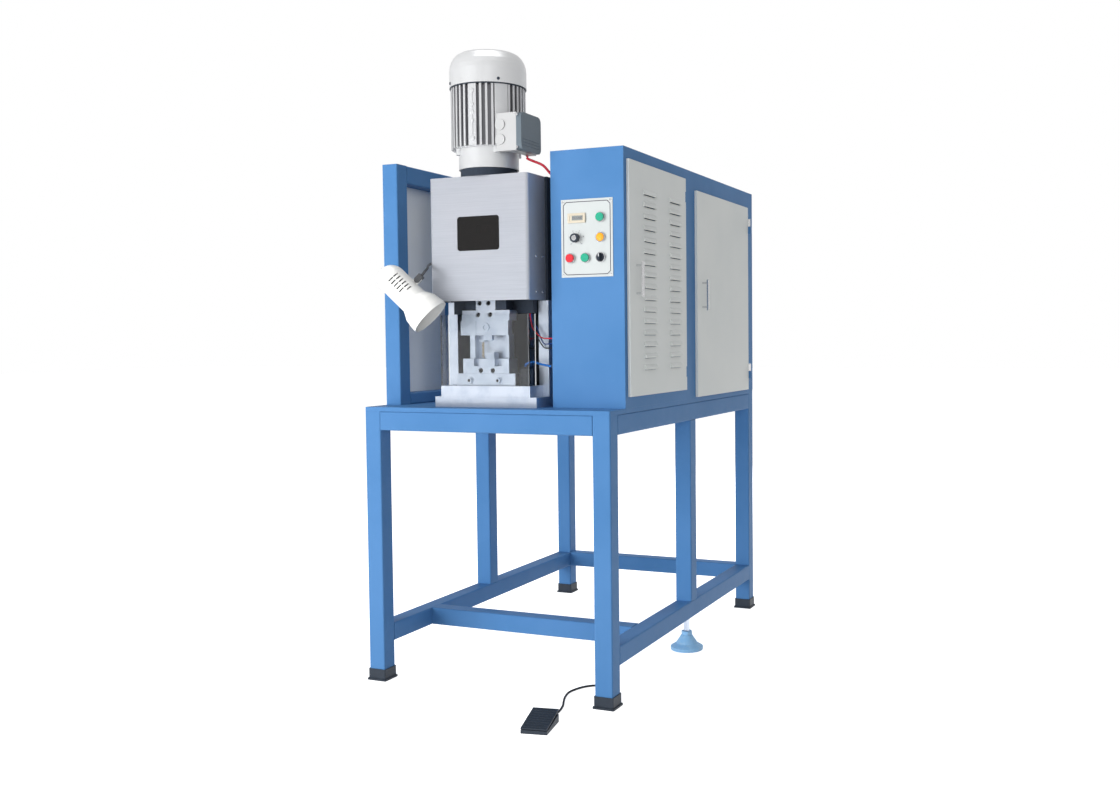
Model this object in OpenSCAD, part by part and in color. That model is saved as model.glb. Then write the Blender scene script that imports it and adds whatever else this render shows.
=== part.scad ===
// Terminal crimping machine: an eccentric press with its applicator on a steel table, beside its control
// cabinet.
// Millimetres. X runs to the right, Y to the back, Z up. The origin is on the floor under the middle of
// the machine.

/* [Table] */
// Width of the table
table_w = 740; // [730:1:800]
// Depth of the table
table_d = 1220; // [1190:1:1350]
// Height of the table top above the floor
table_h = 760; // [700:1:850]
// Side of the square frame tube
tube_w = 50; // [46:1:54]
// Wall of the square frame tube
tube_wall = 3; // [2:0.5:4]
// Outer corner radius of the frame tube
tube_r = 4; // [3:0.5:6]
// Thickness of the table's plate
top_t = 12; // [8:1:16]
// Height of the rails under the plate
rail_h = 52; // [45:1:60]
// Height of the lower stretchers above the floor
stretcher_z = 102; // [90:1:140]
// Distance from the table's front to the middle posts
mid_post_y = 585; // [540:1:640]
// Distance from the table's front to the lower cross bar
front_bar_y = 242; // [200:1:320]
// Height of a foot cap
cap_h = 32; // [24:1:40]
// Wall of a foot cap
cap_wall = 2.5; // [2:0.5:4]
// How far the lip of a foot cap stands out from the leg
cap_lip = 5.5; // [4:0.5:8]
// Thickness of the lip and floor of a foot cap
cap_floor = 5; // [3:0.5:8]

/* [Levelling foot] */
// Diameter of the threaded stud
stud_d = 18; // [14:1:22]
// Diameter of the foot's base disc
level_base_d = 98; // [80:1:110]
// Height of the foot's base with its cone and nut
level_base_h = 56; // [45:1:64]
// How far the foot screws down
level_travel = 20; // [10:1:25]

/* [Cabinet] */
// Width of the control cabinet
cabinet_w = 210; // [200:1:214]
// Height of the cabinet and of the guard frame
cabinet_h = 676; // [660:1:720]
// Distance from the table's front to the cabinet
cabinet_y = 100; // [94:1:110]
// Thickness of the cabinet's sheet
sheet_t = 2; // [1.5:0.5:3]
// Width of the louvred door
louvred_w = 425; // [400:1:440]
// Width of the frame in front of the louvred door
door_front_margin = 17; // [12:1:24]
// Width of the frame between the two doors
door_mid_margin = 92; // [80:1:110]
// Width of the frame behind the plain door
door_rear_margin = 72; // [60:1:90]
// How far the doors stand proud of the cabinet
door_proud = 8; // [7:0.5:10]
// Widest opening of the doors in degrees
door_swing = 110; // [60:5:110]

/* [Press] */
// Distance between the press and the cabinet
press_gap = 28; // [26:1:32]
// Width over the press's two columns
press_w = 312; // [306:1:316]
// Distance from the table's front to the columns
column_y = 134; // [134:1:138]
// Depth of the columns and of the head
column_d = 120; // [110:1:130]
// Width of one column
column_w = 30; // [26:1:34]
// Height of the underside of the head above the table
throat_h = 286; // [286:1:296]
// Height of the top of the cover above the table
cover_top_h = 616; // [612:1:630]
// Distance from the table's front to the cover
cover_y = 36; // [32:1:38]
// Width of the cover
cover_w = 298; // [292:1:304]
// Thickness of the cover's sheet
cover_t = 1.5; // [1:0.5:2]
// Stroke of the ram
stroke = 30; // [24:1:32]
// Width of the ram's tongue
tongue_w = 60; // [54:1:64]
// Thickness of the guard's clear panes
pane_t = 5; // [4:0.5:6]
// Height of the guard above the upper bed plate
pane_h = 192; // [170:1:200]

/* [Drive] */
// Number of teeth on the motor's pinion
pinion_teeth = 12; // [12:1:14]
// Number of teeth on the crown wheel
crown_teeth = 40; // [36:2:40]
// Module of the gear teeth
gear_module = 3; // [2.8:0.1:3.1]
// Diameter of the motor shaft
motor_shaft_d = 20; // [16:1:22]
// Radius of the motor's finned body
motor_r = 100; // [94:1:104]
// Length of the motor's finned body
motor_body_h = 160; // [140:1:180]
// Number of cooling fins round a full turn
fin_count = 40; // [30:2:48]
// Height of the motor's fan cowl
cowl_h = 91; // [80:1:100]

/* [Foot switch] */
// Width of the foot switch
pedal_w = 66; // [60:1:74]
// Length of the foot switch
pedal_l = 100; // [90:1:110]
// How far the foot switch is turned on the floor, in degrees
pedal_turn = 10; // [0:1:15]
// Diameter of the foot switch's cord
cord_d = 6; // [5:0.5:8]

/* [Hidden] */
$fn = 48;

// Clearances and the overrun of cuts
over = 1;
gap = 0.3;
run_fit = 0.05;
slip = 0.2;

// Colours
frame_blue = "SteelBlue";
door_beige = "LightGray";
steel = "Silver";
black = [0.08, 0.08, 0.09];
machined = "WhiteSmoke";

// Heights and edges of the table
plate_z = table_h - top_t;
rail_z = plate_z - rail_h;
stretcher_top = stretcher_z + tube_w;
right_x = table_w - tube_w;
rear_y = table_d - tube_w;

// Edges of the cabinet and of its doors
cab_x = table_w - cabinet_w;
cab_top = table_h + cabinet_h;
side_t = 3;
return_d = 25;
door_lap = 12;
louvred_y = cabinet_y + door_front_margin;
louvred_end = louvred_y + louvred_w;
plain_y = louvred_end + door_mid_margin;
plain_end = table_d - door_rear_margin;
louvred_sill = 30;
louvred_z = table_h + louvred_sill;
louvred_top_margin = 31;
louvred_top = cab_top - louvred_top_margin;
plain_sill = 4;
plain_z = table_h + plain_sill;
plain_top_margin = 54;
plain_top = cab_top - plain_top_margin;
door_sheet = 1.5;
door_x = table_w + door_proud;
roll_r = (door_proud - gap) / 2;
louvred_axis = [door_x - roll_r, louvred_end - roll_r];
knuckle_r = 7;
plain_axis = [table_w + gap + knuckle_r, plain_end + gap + knuckle_r];
hinge_h = 50;
hinge_inset = 38;
hinge_pin_d = 6;
knuckle_h = 30;
knuckle_pin_d = 3;
pin_reach = 8;

// Handles of the doors
handle_h = 93;
handle_w = 10;
handle_t = 5;
handle_out = 20;
handle_edge = 46;
louvred_handle_rise = 290;
plain_handle_rise = 265;
louvred_handle_z = table_h + louvred_handle_rise;
plain_handle_z = table_h + plain_handle_rise;

// Louvres
louvre_l = 85;
louvre_h = 14;
louvre_out = 6;
louvre_rows = 16;
louvre_rise = 98;
louvre_head = 113;
louvre_pitch = (cabinet_h - louvre_rise - louvre_head) / (louvre_rows - 1);
louvre_first_z = table_h + louvre_rise;
louvre_insets = [96, 288];

// Control plate and what it carries
plate_inset = 31;
plate_w = 148;
plate_h = 203;
plate_rise = 343;
plate_base_z = table_h + plate_rise;
plate_t = 1.5;
plate_x = cab_x + plate_inset;
switch_edge = 27;
switch_foot = 50;
switch_col_x = plate_x + switch_edge;
switch_pitch = 43.5;
switch_row_z = plate_base_z + switch_foot;
switch_row_pitch = 52;
switch_hole_d = 16;
bezel_d = 26;
bezel_h = 5.5;
bezel_wall = 1.8;
bezel_floor = 1.5;
barrel_l = 38;
cap_d = bezel_d - 2 * bezel_wall - 2 * gap;
cap_out = 4;
button_travel = 3;
stem_d = 8;
contact_w = 22;
counter_w = 46;
counter_h = 21;
counter_l = 40;
counter_rim = 2;
knob_l = 11;
front_y = cabinet_y - plate_t;

// Guard frame on the left
guard_l = 355;
guard_end = cabinet_y + guard_l;
guard_sill = 32;
guard_sheet_x = 5;

// Press
bed_h = 28;
bed_step = 30;
bed_y = 60;
bed_inset = 19;
press_x = cab_x - press_gap - press_w / 2;
column_x = press_x - press_w / 2;
column_end = column_x + press_w;
head_end = column_y + column_d;
bed_z = table_h + bed_h;
deck_z = bed_z + bed_step;
throat_z = table_h + throat_h;
cover_z = table_h + cover_top_h;
head_wall = 25;
back_wall = 12;
ledge_t = 20;
adapter_r = 76;
adapter_h = 20;
motor_y = 100;
motor_z = cover_z + adapter_h;
cover_x = press_x - cover_w / 2;
cover_r = 8;
window_w = 128;
window_h = 91;
window_rise = 419;
window_z = table_h + window_rise;
window_r = 8;
window_lap = 10;
window_t = 3;
screw_d = 6;

// Crank and gears
crank_z = window_z + window_h / 2;
crank_throw = stroke / 2;
crank_pin_d = 16;
crank_disc_r = 45;
crank_disc_y = 92;
crank_disc_t = 16;
crank_shaft_d = 30;
crank_hub_d = 44;
pinion_r = gear_module * pinion_teeth / 2;
crown_r = gear_module * crown_teeth / 2;
crown_face_y = motor_y + pinion_r;
tip_share = 0.85;
root_share = 1.15;
half_tooth_share = 0.56;
taper_share = 0.3;
tooth_tip = gear_module * tip_share;
tooth_root = gear_module * root_share;
tooth_half = gear_module * half_tooth_share;
tooth_taper = gear_module * taper_share;
tooth_l = 9;
crown_rim = 6;
pinion_h = 24;
stray_share = 0.211;
stray = crank_throw * stray_share;
yoke_wall = 12;
yoke_y = 72;
yoke_t = 18;
slot_half_w = crank_throw + crank_pin_d / 2 + over;
slot_half_h = crank_pin_d / 2 + stray + gap;

// Ram and its guide
ram_y = 70;
ram_t = 40;
ram_rise = 233;
ram_z = table_h + ram_rise;
block_h = 28;
block_w = 146;
tongue_top = crank_z - crank_disc_r - yoke_wall / 2;
guide_drop = 34;
guide_w = 246;
gib_w = 126;
gib_base = ram_z + block_h + 2 * over;
guide_top = crank_z - crown_r - crown_rim - over - tooth_l;
ram_screw_d = 13;
ram_screws = [[-23, 16], [14, 16], [-18.5, 47], [8.5, 47]];

// Applicator: places along X are measured from the middle of the press, heights from the deck
clamp_x = [-94, 87];
clamp_y = 74;
clamp_d = 52;
clamp_h = 33;
clamp_screws = [-52, 36];
clamp_screw_z = 14;
washer_d = 20;
washer_t = 1.5;
screw_head_d = 15;
screw_head_h = 6;
socket_d = 8;
frame_x = [-76, 66];
frame_y = 78;
frame_d = 48;
frame_h = 40;
slot_a = [-42, -26];
slot_b = [22, 44];
slot_depth = 18;
upright_a = [-62, -46];
upright_b = [48, 59];
upright_y = 92.5;
upright_h = 63;
upright_d = 20;
back_t = 8;
back_h = 66;
slide_x = [-77, 69];
slide_h = 39;
slide_t = 22;
punch_x = [-6, 18];
punch_h = 14;
punch_t = 14;
boss_d = 24;
boss_h = 3;
boss_z = 21;
band_x = [-18, -4];
band_depth = 1.5;
anvil_x = [-3, 21];
anvil_h = 17;
anvil_d = 24;
spring_x = -25;
spring_y = 99;
spring_coil_r = 3.2;
spring_wire = 1.2;
spring_turns = 12;
spring_h = 46;
spring_lug_t = 5;

// Air valve and hose
valve_offset = 107;
valve_x = press_x + valve_offset;
valve_y = 95;
valve_d = 30;
valve_h = 45;
hose_d = 6;

// Motor
flange_r = 80;
flange_h = 54;
body_z = motor_z + flange_h;
fin_out = 8;
core_r = motor_r - fin_out;
fin_t = 6;
bore_r = 55;
end_wall = 10;
cowl_over = 3;
cowl_r = motor_r + cowl_over;
cowl_gap = 3;
cowl_z = body_z + motor_body_h + cowl_gap;
cowl_top_r = 67;
cowl_skirt = 42;
cowl_t = 2;
rotor_r = 50;
fan_r = 84;
fan_h = 30;
fan_blades = 7;
box_x = 61;
box_end = 125;
lid_t = 15;
box_y = -76;
box_d = 110;
box_drop = 17;
box_h = 98;
plug_d = 28;
plug_out = 3;
plug_z = [30, 68];
plug_x = 78;
cable_d = 7;

// Lamp: the shade's outline as distances along its axis and radii
lamp_at = [-31, -34, 312];
lamp_yaw = 15.7;
lamp_pitch = 44.4;
shade_r = 38.5;
shade_back = -47;
shade_flare_start = 38;
shade_flare_mid = 62;
shade_flare_end = 88;
shade_mid_r = 51;
shade_mouth_r = 55;
shade_mouth = 99;
shade_t = 1.6;
vent_w = 3.4;
vent_l = 16;
vent_pitch = 10;
vent_first = -41;
vent_count = 6;
vent_turns = [234, 262];
joint_along = 5;
lamp_pin_d = 6;
fork_gap = 8;
fork_t = 4;
fork_r = 8;
neck_d = 7;
neck_foot_d = 22;
neck_foot_t = 6;

// Foot switch
pedal_from_right = 114.5;
pedal_from_front = -178;
pedal_at = [table_w - pedal_from_right, pedal_from_front];
pedal_floor = 3;
pedal_wall = 3;
pedal_low = 9;
pedal_high = 19;
treadle_low = 14;
treadle_high = 32;
treadle_t = 3;
treadle_swing = 6;
pedal_pin_d = 4;
rib_h = 1.5;
rib_w = 3;
rib_count = 9;

// Cord of the foot switch: its way over the floor and up behind the front leg, with X from the table's
// right edge
grommet_z = 60;
cord_way = [[-115, -106, 7], [-118, -84, 4], [-123, -52, 3], [-132, -18, 3], [-148, 20, 3], [-160, 54, 3],
    [-166, 87, 3], [-161, 118, 3], [-148, 147, 3], [-124, 168, 3], [-92, 168, 4], [-64, 146, 10],
    [-42, 116, 26], [-29, 88, 46], [-25, 66, 58]];

// Extent of the machine, for its origin
pedal_reach = pedal_w / 2 * sin(pedal_turn) + pedal_l / 2 * cos(pedal_turn);
min_x = -cap_lip;
max_x = door_x + handle_out;
min_y = pedal_at[1] - pedal_reach;
max_y = table_d + cap_lip;
mid_x = (min_x + max_x) / 2;
mid_y = (min_y + max_y) / 2;

// Places a piece drawn in table coordinates, which start at the table's front left corner
module machine(colour) {
    color(colour) translate([-mid_x, -mid_y, 0]) children();
}

// A block given by its limits along each axis
module block(x, y, z) {
    translate([x[0], y[0], z[0]]) cube([x[1] - x[0], y[1] - y[0], z[1] - z[0]]);
}

module rod_x(x, y, z, d) {
    translate([x[0], y, z]) rotate([0, 90, 0]) cylinder(d = d, h = x[1] - x[0]);
}

module rod_y(x, y, z, d) {
    translate([x, y[0], z]) rotate([-90, 0, 0]) cylinder(d = d, h = y[1] - y[0]);
}

module rod_z(x, y, z, d) {
    translate([x, y, z[0]]) cylinder(d = d, h = z[1] - z[0]);
}

// Points of a rectangle with round corners, centred on zero
function arc(c, r, start, steps) = [for (i = [0:steps]) c + r * [cos(start + 90 * i / steps),
    sin(start + 90 * i / steps)]];
function round_rect(w, h, r, steps = 4) = concat(
    arc([w / 2 - r, h / 2 - r], r, 0, steps), arc([r - w / 2, h / 2 - r], r, 90, steps),
    arc([r - w / 2, r - h / 2], r, 180, steps), arc([w / 2 - r, r - h / 2], r, 270, steps));

// A length of the frame tube along Z, from its centre line
module tube(length, w = tube_w, h = tube_w) {
    linear_extrude(length) difference() {
        polygon(round_rect(w, h, tube_r));
        square([w - 2 * tube_wall, h - 2 * tube_wall], center = true);
    }
}

module tube_z(x, y, z) {
    translate([x, y, z[0]]) tube(z[1] - z[0]);
}

module tube_y(x, y, z, h = tube_w) {
    translate([x, y[0], z + h / 2]) rotate([-90, 0, 0]) tube(y[1] - y[0], tube_w, h);
}

module tube_x(x, y, z, h = tube_w) {
    translate([x[0], y, z + h / 2]) rotate([90, 0, 90]) tube(x[1] - x[0], tube_w, h);
}

// A swept round tube: a smooth curve through hand-set points
function curve_at(p, i, t) = let(
        a = p[max(i - 1, 0)], b = p[i], c = p[i + 1], d = p[min(i + 2, len(p) - 1)]
    ) 0.5 * (2 * b + (c - a) * t + (2 * a - 5 * b + 4 * c - d) * t * t + (3 * b - a - 3 * c + d)
        * t * t * t);
function curve(p, steps) = concat([for (i = [0:len(p) - 2], k = [0:steps - 1]) curve_at(p, i, k / steps)],
    [p[len(p) - 1]]);
function unit(v) = v / norm(v);
function heading(p, i) = unit(p[min(i + 1, len(p) - 1)] - p[max(i - 1, 0)]);

// Triangles between the rings of a swept tube
function skin(n, sides) = [for (i = [0:n - 2], k = [0:sides - 1], half = [0, 1])
    let(m = (k + 1) % sides, low = i * sides, high = low + sides)
    half == 0 ? [low + k, low + m, high + m] : [low + k, high + m, high + k]];

module sweep(p, d, sides) {
    n = len(p);
    rings = [for (i = [0:n - 1]) let(
            h = heading(p, i), a = unit(cross(h, [0, 0, 1])), b = cross(a, h)
        ) for (k = [0:sides - 1]) p[i] + d / 2 * (a * cos(360 * k / sides) + b * sin(360 * k / sides))];
    ends = [[for (k = [0:sides - 1]) sides - 1 - k], [for (k = [0:sides - 1]) (n - 1) * sides + k]];
    polyhedron(rings, concat(skin(n, sides), ends), convexity = 10);
}

// Table

module table_legs() {
    machine(frame_blue) {
        for (x = [tube_w / 2, right_x + tube_w / 2], y = [tube_w / 2, rear_y + tube_w / 2]) {
            front_right = x > tube_w && y < tube_w;
            difference() {
                tube_z(x, y, [cap_floor, plate_z]);
                if (front_right) rod_y(x, [tube_w / 2, tube_w + over], grommet_z, grommet_d);
            }
        }
        for (x = [tube_w / 2, right_x + tube_w / 2])
            tube_z(x, mid_post_y + tube_w / 2, [stretcher_top, rail_z]);
    }
}

module table_rails() {
    machine(frame_blue) {
        for (x = [tube_w / 2, right_x + tube_w / 2]) tube_y(x, [tube_w, rear_y], rail_z, rail_h);
        for (y = [tube_w / 2, rear_y + tube_w / 2]) tube_x([tube_w, right_x], y, rail_z, rail_h);
    }
}

module table_top() {
    machine(frame_blue)
        translate([table_w / 2, table_d / 2, plate_z]) linear_extrude(top_t) polygon(round_rect(table_w,
            table_d, tube_r));
}

module side_stretchers() {
    machine(frame_blue) {
        tube_y(tube_w / 2, [tube_w, rear_y], stretcher_z);
        difference() {
            tube_y(right_x + tube_w / 2, [tube_w, rear_y], stretcher_z);
            rod_z(right_x + tube_w / 2, mid_post_y + tube_w / 2,
                [stretcher_z - over, stretcher_z + tube_w / 2], stud_d + 2 * run_fit);
        }
    }
}

module cross_stretchers() {
    machine(frame_blue)
        for (y = [front_bar_y + tube_w / 2, rear_y + tube_w / 2]) tube_x([tube_w, right_x], y, stretcher_z);
}

module foot_cap() {
    body_w = tube_w + 2 * cap_wall;
    lip_w = tube_w + 2 * cap_lip;
    difference() {
        union() {
            linear_extrude(cap_h) polygon(round_rect(body_w, body_w, tube_r));
            linear_extrude(cap_floor) polygon(round_rect(lip_w, lip_w, tube_r));
        }
        translate([0, 0, cap_floor]) linear_extrude(cap_h) square(tube_w + slip, center = true);
    }
}

module foot_caps() {
    machine(black)
        for (x = [tube_w / 2, right_x + tube_w / 2], y = [tube_w / 2, rear_y + tube_w / 2])
            translate([x, y, 0]) foot_cap();
}

level_nut_h = 12;
level_cone_d = 66;
level_cone_h = 24;
level_disc_h = level_base_h - level_nut_h - level_cone_h;
level_nut_d = 34;
stud_reach = 20;

module levelling_stud() {
    machine("DimGray")
        rod_z(right_x + tube_w / 2, mid_post_y + tube_w / 2, [level_base_h, stretcher_z + stud_reach],
            stud_d);
}

module levelling_base() {
    machine("LightSkyBlue") translate([right_x + tube_w / 2, mid_post_y + tube_w / 2, 0]) {
        rotate_extrude() polygon([[0, 0], [level_base_d / 2 - over, 0], [level_base_d / 2, over],
            [level_base_d / 2, level_disc_h / 2], [level_cone_d / 2, level_disc_h],
                [level_nut_d / 2, level_disc_h + level_cone_h],
            [0, level_disc_h + level_cone_h]]);
        translate([0, 0, level_disc_h + level_cone_h]) cylinder(d = level_nut_d, h = level_nut_h, $fn = 6);
    }
}

// Cabinet

module cabinet_front() {
    machine(frame_blue) difference() {
        block([cab_x, table_w], [cabinet_y, cabinet_y + sheet_t], [table_h, cab_top]);
        for (s = switch_places) rod_y(s[0], [cabinet_y - over, cabinet_y + sheet_t + over], s[1],
            switch_hole_d);
        block(counter_span_x, [cabinet_y - over, cabinet_y + sheet_t + over], counter_span_z);
    }
}

module door_hole(y, z) {
    block([table_w - side_t - over, table_w + over], [y[0] + door_lap, y[1] - door_lap],
        [z[0] + door_lap, z[1] - door_lap]);
}

module cabinet_side_frame() {
    machine(frame_blue) difference() {
        block([table_w - side_t, table_w], [cabinet_y + sheet_t, table_d], [table_h, cab_top]);
        door_hole([louvred_y, louvred_end], [louvred_z, louvred_top]);
        door_hole([plain_y, plain_end], [plain_z, plain_top]);
    }
}

module cabinet_shell() {
    inner_x = table_w - side_t;
    front = cabinet_y + sheet_t;
    side_end = cab_x + sheet_t + gap;
    machine(frame_blue) difference() {
        union() {
            block([cab_x, cab_x + sheet_t], [front, table_d], [table_h, cab_top]);
            block([side_end, inner_x], [table_d - sheet_t, table_d], [table_h, cab_top]);
            block([side_end, inner_x], [front, table_d - sheet_t - gap], [cab_top - sheet_t, cab_top]);
        }
        rod_x([cab_x - over, cab_x + sheet_t + over], cable_end[1], cable_end[2], gland_hole_d);
        rod_x([cab_x - over, cab_x + sheet_t + over], hose_end[1], hose_end[2], gland_hole_d);
        rod_y(inlet_x, [table_d - sheet_t - over, table_d + over], inlet_z, inlet_hole_d);
    }
}

// A door as a shallow tray: a sheet with its edges folded back towards the cabinet
module door_tray(y, z) {
    inner = table_w + gap;
    difference() {
        block([inner, door_x], y, z);
        block([inner - over, door_x - door_sheet], [y[0] + door_sheet, y[1] - door_sheet],
            [z[0] + door_sheet, z[1] - door_sheet]);
    }
}

module louvre_outline(out, h) {
    polygon([[-over, 0], [out, 0], [out, h / 4], [0, h], [-over, h]]);
}

module louvre(y, z, out, l, h) {
    translate([door_x, y + l, z]) rotate([90, 0, 0]) linear_extrude(l) louvre_outline(out, h);
}

module louvred_door() {
    flat_end = louvred_axis[1];
    machine(door_beige) difference() {
        union() {
            door_tray([louvred_y, flat_end], [louvred_z, louvred_top]);
            rod_z(louvred_axis[0], louvred_axis[1], [louvred_z, louvred_top], 2 * roll_r);
            for (c = louvre_insets, i = [0:louvre_rows - 1])
                louvre(louvred_y + c, louvre_first_z + i * louvre_pitch, louvre_out, louvre_l, louvre_h);
        }
        for (c = louvre_insets, i = [0:louvre_rows - 1])
            translate([-door_sheet - over, 0, -over])
                louvre(louvred_y + c + door_sheet, louvre_first_z + i * louvre_pitch, louvre_out + over,
                    louvre_l - 2 * door_sheet, louvre_h - door_sheet + over / 2);
        for (z = knuckle_places) {
            rod_z(louvred_axis[0], louvred_axis[1], [z - gap, z + knuckle_h + gap], 2 * roll_r + over);
            block([table_w, door_x + over], [louvred_axis[1] - roll_r, louvred_end + over],
                [z - gap, z + knuckle_h + gap]);
            rod_z(louvred_axis[0], louvred_axis[1], [z - pin_reach - gap, z + knuckle_h + pin_reach + gap],
                knuckle_pin_d + 2 * run_fit);
        }
    }
}

module door_handle(y, z) {
    bar_x = door_x + handle_out - handle_t;
    block([bar_x, bar_x + handle_t], [y - handle_w / 2, y + handle_w / 2], [z, z + handle_h]);
    for (p = [z + handle_w, z + handle_h - handle_w]) rod_x([door_x, bar_x + handle_t / 2], y, p,
        handle_t + over);
}

module louvred_handle() {
    machine(machined) door_handle(louvred_y + handle_edge, louvred_handle_z);
}

module plain_door() {
    machine(door_beige) door_tray([plain_y, plain_end], [plain_z, plain_top]);
}

module plain_handle() {
    machine(machined) door_handle(plain_y + handle_edge, plain_handle_z);
}

hinge_places = [plain_z + hinge_inset, plain_top - hinge_inset - hinge_h];
knuckle_places = [louvred_z + hinge_inset, louvred_top - hinge_inset - knuckle_h];

module hinge_frame_halves() {
    machine(frame_blue) {
        for (z = hinge_places) {
            half = z + hinge_h / 2;
            rod_z(plain_axis[0], plain_axis[1], [z, half], 2 * knuckle_r);
            block([table_w, plain_axis[0]], [plain_axis[1] - knuckle_r / 2,
                plain_axis[1] + knuckle_r / 2], [z, half]);
            rod_z(plain_axis[0], plain_axis[1], [z, z + hinge_h - knuckle_r], hinge_pin_d);
        }
        for (z = knuckle_places) {
            rod_z(louvred_axis[0], louvred_axis[1], [z, z + knuckle_h], 2 * roll_r - over);
            block([table_w, louvred_axis[0]], [louvred_axis[1] - roll_r / 2,
                louvred_axis[1] + roll_r / 2], [z, z + knuckle_h]);
            rod_z(louvred_axis[0], louvred_axis[1], [z - pin_reach, z + knuckle_h + pin_reach],
                knuckle_pin_d);
        }
    }
}

module hinge_door_halves() {
    machine(machined) for (z = hinge_places) difference() {
        half = z + hinge_h / 2 + gap;
        union() {
            rod_z(plain_axis[0], plain_axis[1], [half, z + hinge_h], 2 * knuckle_r);
            block([table_w + 2 * gap, plain_axis[0]], [plain_end, plain_axis[1]], [half, z + hinge_h]);
        }
        rod_z(plain_axis[0], plain_axis[1], [half - over, z + hinge_h - knuckle_r + gap],
            hinge_pin_d + 2 * run_fit);
    }
}

// Control plate, switches and counter

function switch_place(col, row) = [switch_col_x + col * switch_pitch,
    switch_row_z + row * switch_row_pitch];
stop_place = switch_place(0, 0);
jog_place = switch_place(1, 0);
selector_place = switch_place(2, 0);
speed_place = switch_place(0.38, 1);
pilot_place = switch_place(2, 1);
start_place = switch_place(2, 2);
switch_places = [stop_place, jog_place, selector_place, speed_place, pilot_place, start_place];
counter_centre = switch_place(0.43, 2);
counter_span_x = [counter_centre[0] - counter_w / 2, counter_centre[0] + counter_w / 2];
counter_span_z = [counter_centre[1] - counter_h / 2, counter_centre[1] + counter_h / 2];

module control_plate() {
    machine("White") difference() {
        block([plate_x, plate_x + plate_w], [front_y, cabinet_y], [plate_base_z, plate_base_z + plate_h]);
        for (s = switch_places) rod_y(s[0], [front_y - over, cabinet_y + over], s[1], switch_hole_d);
        block(counter_span_x, [front_y - over, cabinet_y + over], counter_span_z);
    }
}

// A switch's ring, its barrel through the plate and its contact block
module switch_body(s) {
    barrel_end = front_y + barrel_l;
    difference() {
        union() {
            rod_y(s[0], [front_y - bezel_h, front_y], s[1], bezel_d);
            rod_y(s[0], [front_y - over, barrel_end], s[1], switch_hole_d - slip);
            block([s[0] - contact_w / 2, s[0] + contact_w / 2], [barrel_end - contact_w, barrel_end],
                [s[1] - contact_w / 2, s[1] + contact_w / 2]);
        }
        rod_y(s[0], [front_y - bezel_h - over, front_y - bezel_floor], s[1], bezel_d - 2 * bezel_wall);
        rod_y(s[0], [front_y - bezel_h - over, barrel_end - sheet_t], s[1], stem_d + 2 * gap);
    }
}

module switch_bodies() {
    machine("Silver") for (s = switch_places) switch_body(s);
}

// A button's cap and the stem behind it, which reaches into the barrel
module button(s, out = cap_out) {
    back = front_y - bezel_floor - button_travel - gap;
    rod_y(s[0], [front_y - bezel_h - out, back], s[1], cap_d);
    rod_y(s[0], [back - over, front_y + barrel_l / 2], s[1], stem_d);
}

module start_button() {
    machine("Green") button(start_place);
}

module jog_button() {
    machine("Green") button(jog_place);
}

module stop_button() {
    machine("Red") button(stop_place);
}

module pilot_lens() {
    back = front_y - bezel_floor;
    machine("Orange") {
        rod_y(pilot_place[0], [front_y - bezel_h, back], pilot_place[1], cap_d);
        translate([pilot_place[0], front_y - bezel_h, pilot_place[1]]) rotate([90, 0, 0]) rotate_extrude()
            polygon([[0, 0], [cap_d / 2, 0], for (a = [0:10:90]) [cap_d / 2 * cos(a), cap_out * sin(a)]]);
    }
}

// A turning knob: a disc on a stem, with a grip or a marker across it
module knob(s, length) {
    back = front_y - bezel_floor - gap;
    rod_y(s[0], [front_y - bezel_h, back], s[1], cap_d);
    rod_y(s[0], [back - over, front_y + barrel_l / 2], s[1], stem_d);
    rod_y(s[0], [front_y - bezel_h - length, front_y - bezel_h], s[1], cap_d);
}

module selector_knob() {
    s = selector_place;
    machine(black) {
        back = front_y - bezel_floor - gap;
        rod_y(s[0], [front_y - bezel_h - over, back], s[1], cap_d);
        rod_y(s[0], [back - over, front_y + barrel_l / 2], s[1], stem_d);
        block([s[0] - stem_d / 3, s[0] + stem_d / 3], [front_y - bezel_h - knob_l, front_y - bezel_h],
            [s[1] - cap_d / 2 + over, s[1] + cap_d / 2 - over]);
    }
}

module speed_knob() {
    machine(black) knob(speed_place, knob_l);
}

module counter() {
    rim_x = [counter_span_x[0] - counter_rim, counter_span_x[1] + counter_rim];
    rim_z = [counter_span_z[0] - counter_rim, counter_span_z[1] + counter_rim];
    face = front_y - bezel_h + over;
    machine(black) difference() {
        union() {
            block([counter_span_x[0] + slip, counter_span_x[1] - slip], [face, front_y + counter_l],
                [counter_span_z[0] + slip, counter_span_z[1] - slip]);
            block(rim_x, [face, front_y], rim_z);
        }
        block([counter_span_x[0] + 2 * counter_rim, counter_span_x[1] - 2 * counter_rim],
            [face - over, face + over],
            [counter_span_z[0] + 2 * counter_rim, counter_span_z[1] - 2 * counter_rim]);
    }
}

// Gear inside the cabinet

component_front = 100;
component_sill = 90;
component_drop = 110;
component_y = cabinet_y + component_front;
component_end = louvred_end - return_d;
component_z = table_h + component_sill;
component_top = cab_top - component_drop;
spacer_l = 10;
spacer_d = 12;
component_x = cab_x + sheet_t + spacer_l;
drive_w = 130;
drive_h = 210;
drive_d = 95;
relay_w = 45;
relay_h = 80;
relay_d = 85;
relay_count = 4;
relay_gap = 8;

module component_plate() {
    machine("Silver") {
        block([component_x, component_x + sheet_t], [component_y, component_end],
            [component_z, component_top]);
        for (y = [component_y + spacer_d, component_end - spacer_d],
            z = [component_z + spacer_d, component_top - spacer_d])
            rod_x([cab_x + sheet_t, component_x + sheet_t / 2], y, z, spacer_d);
    }
}

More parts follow.
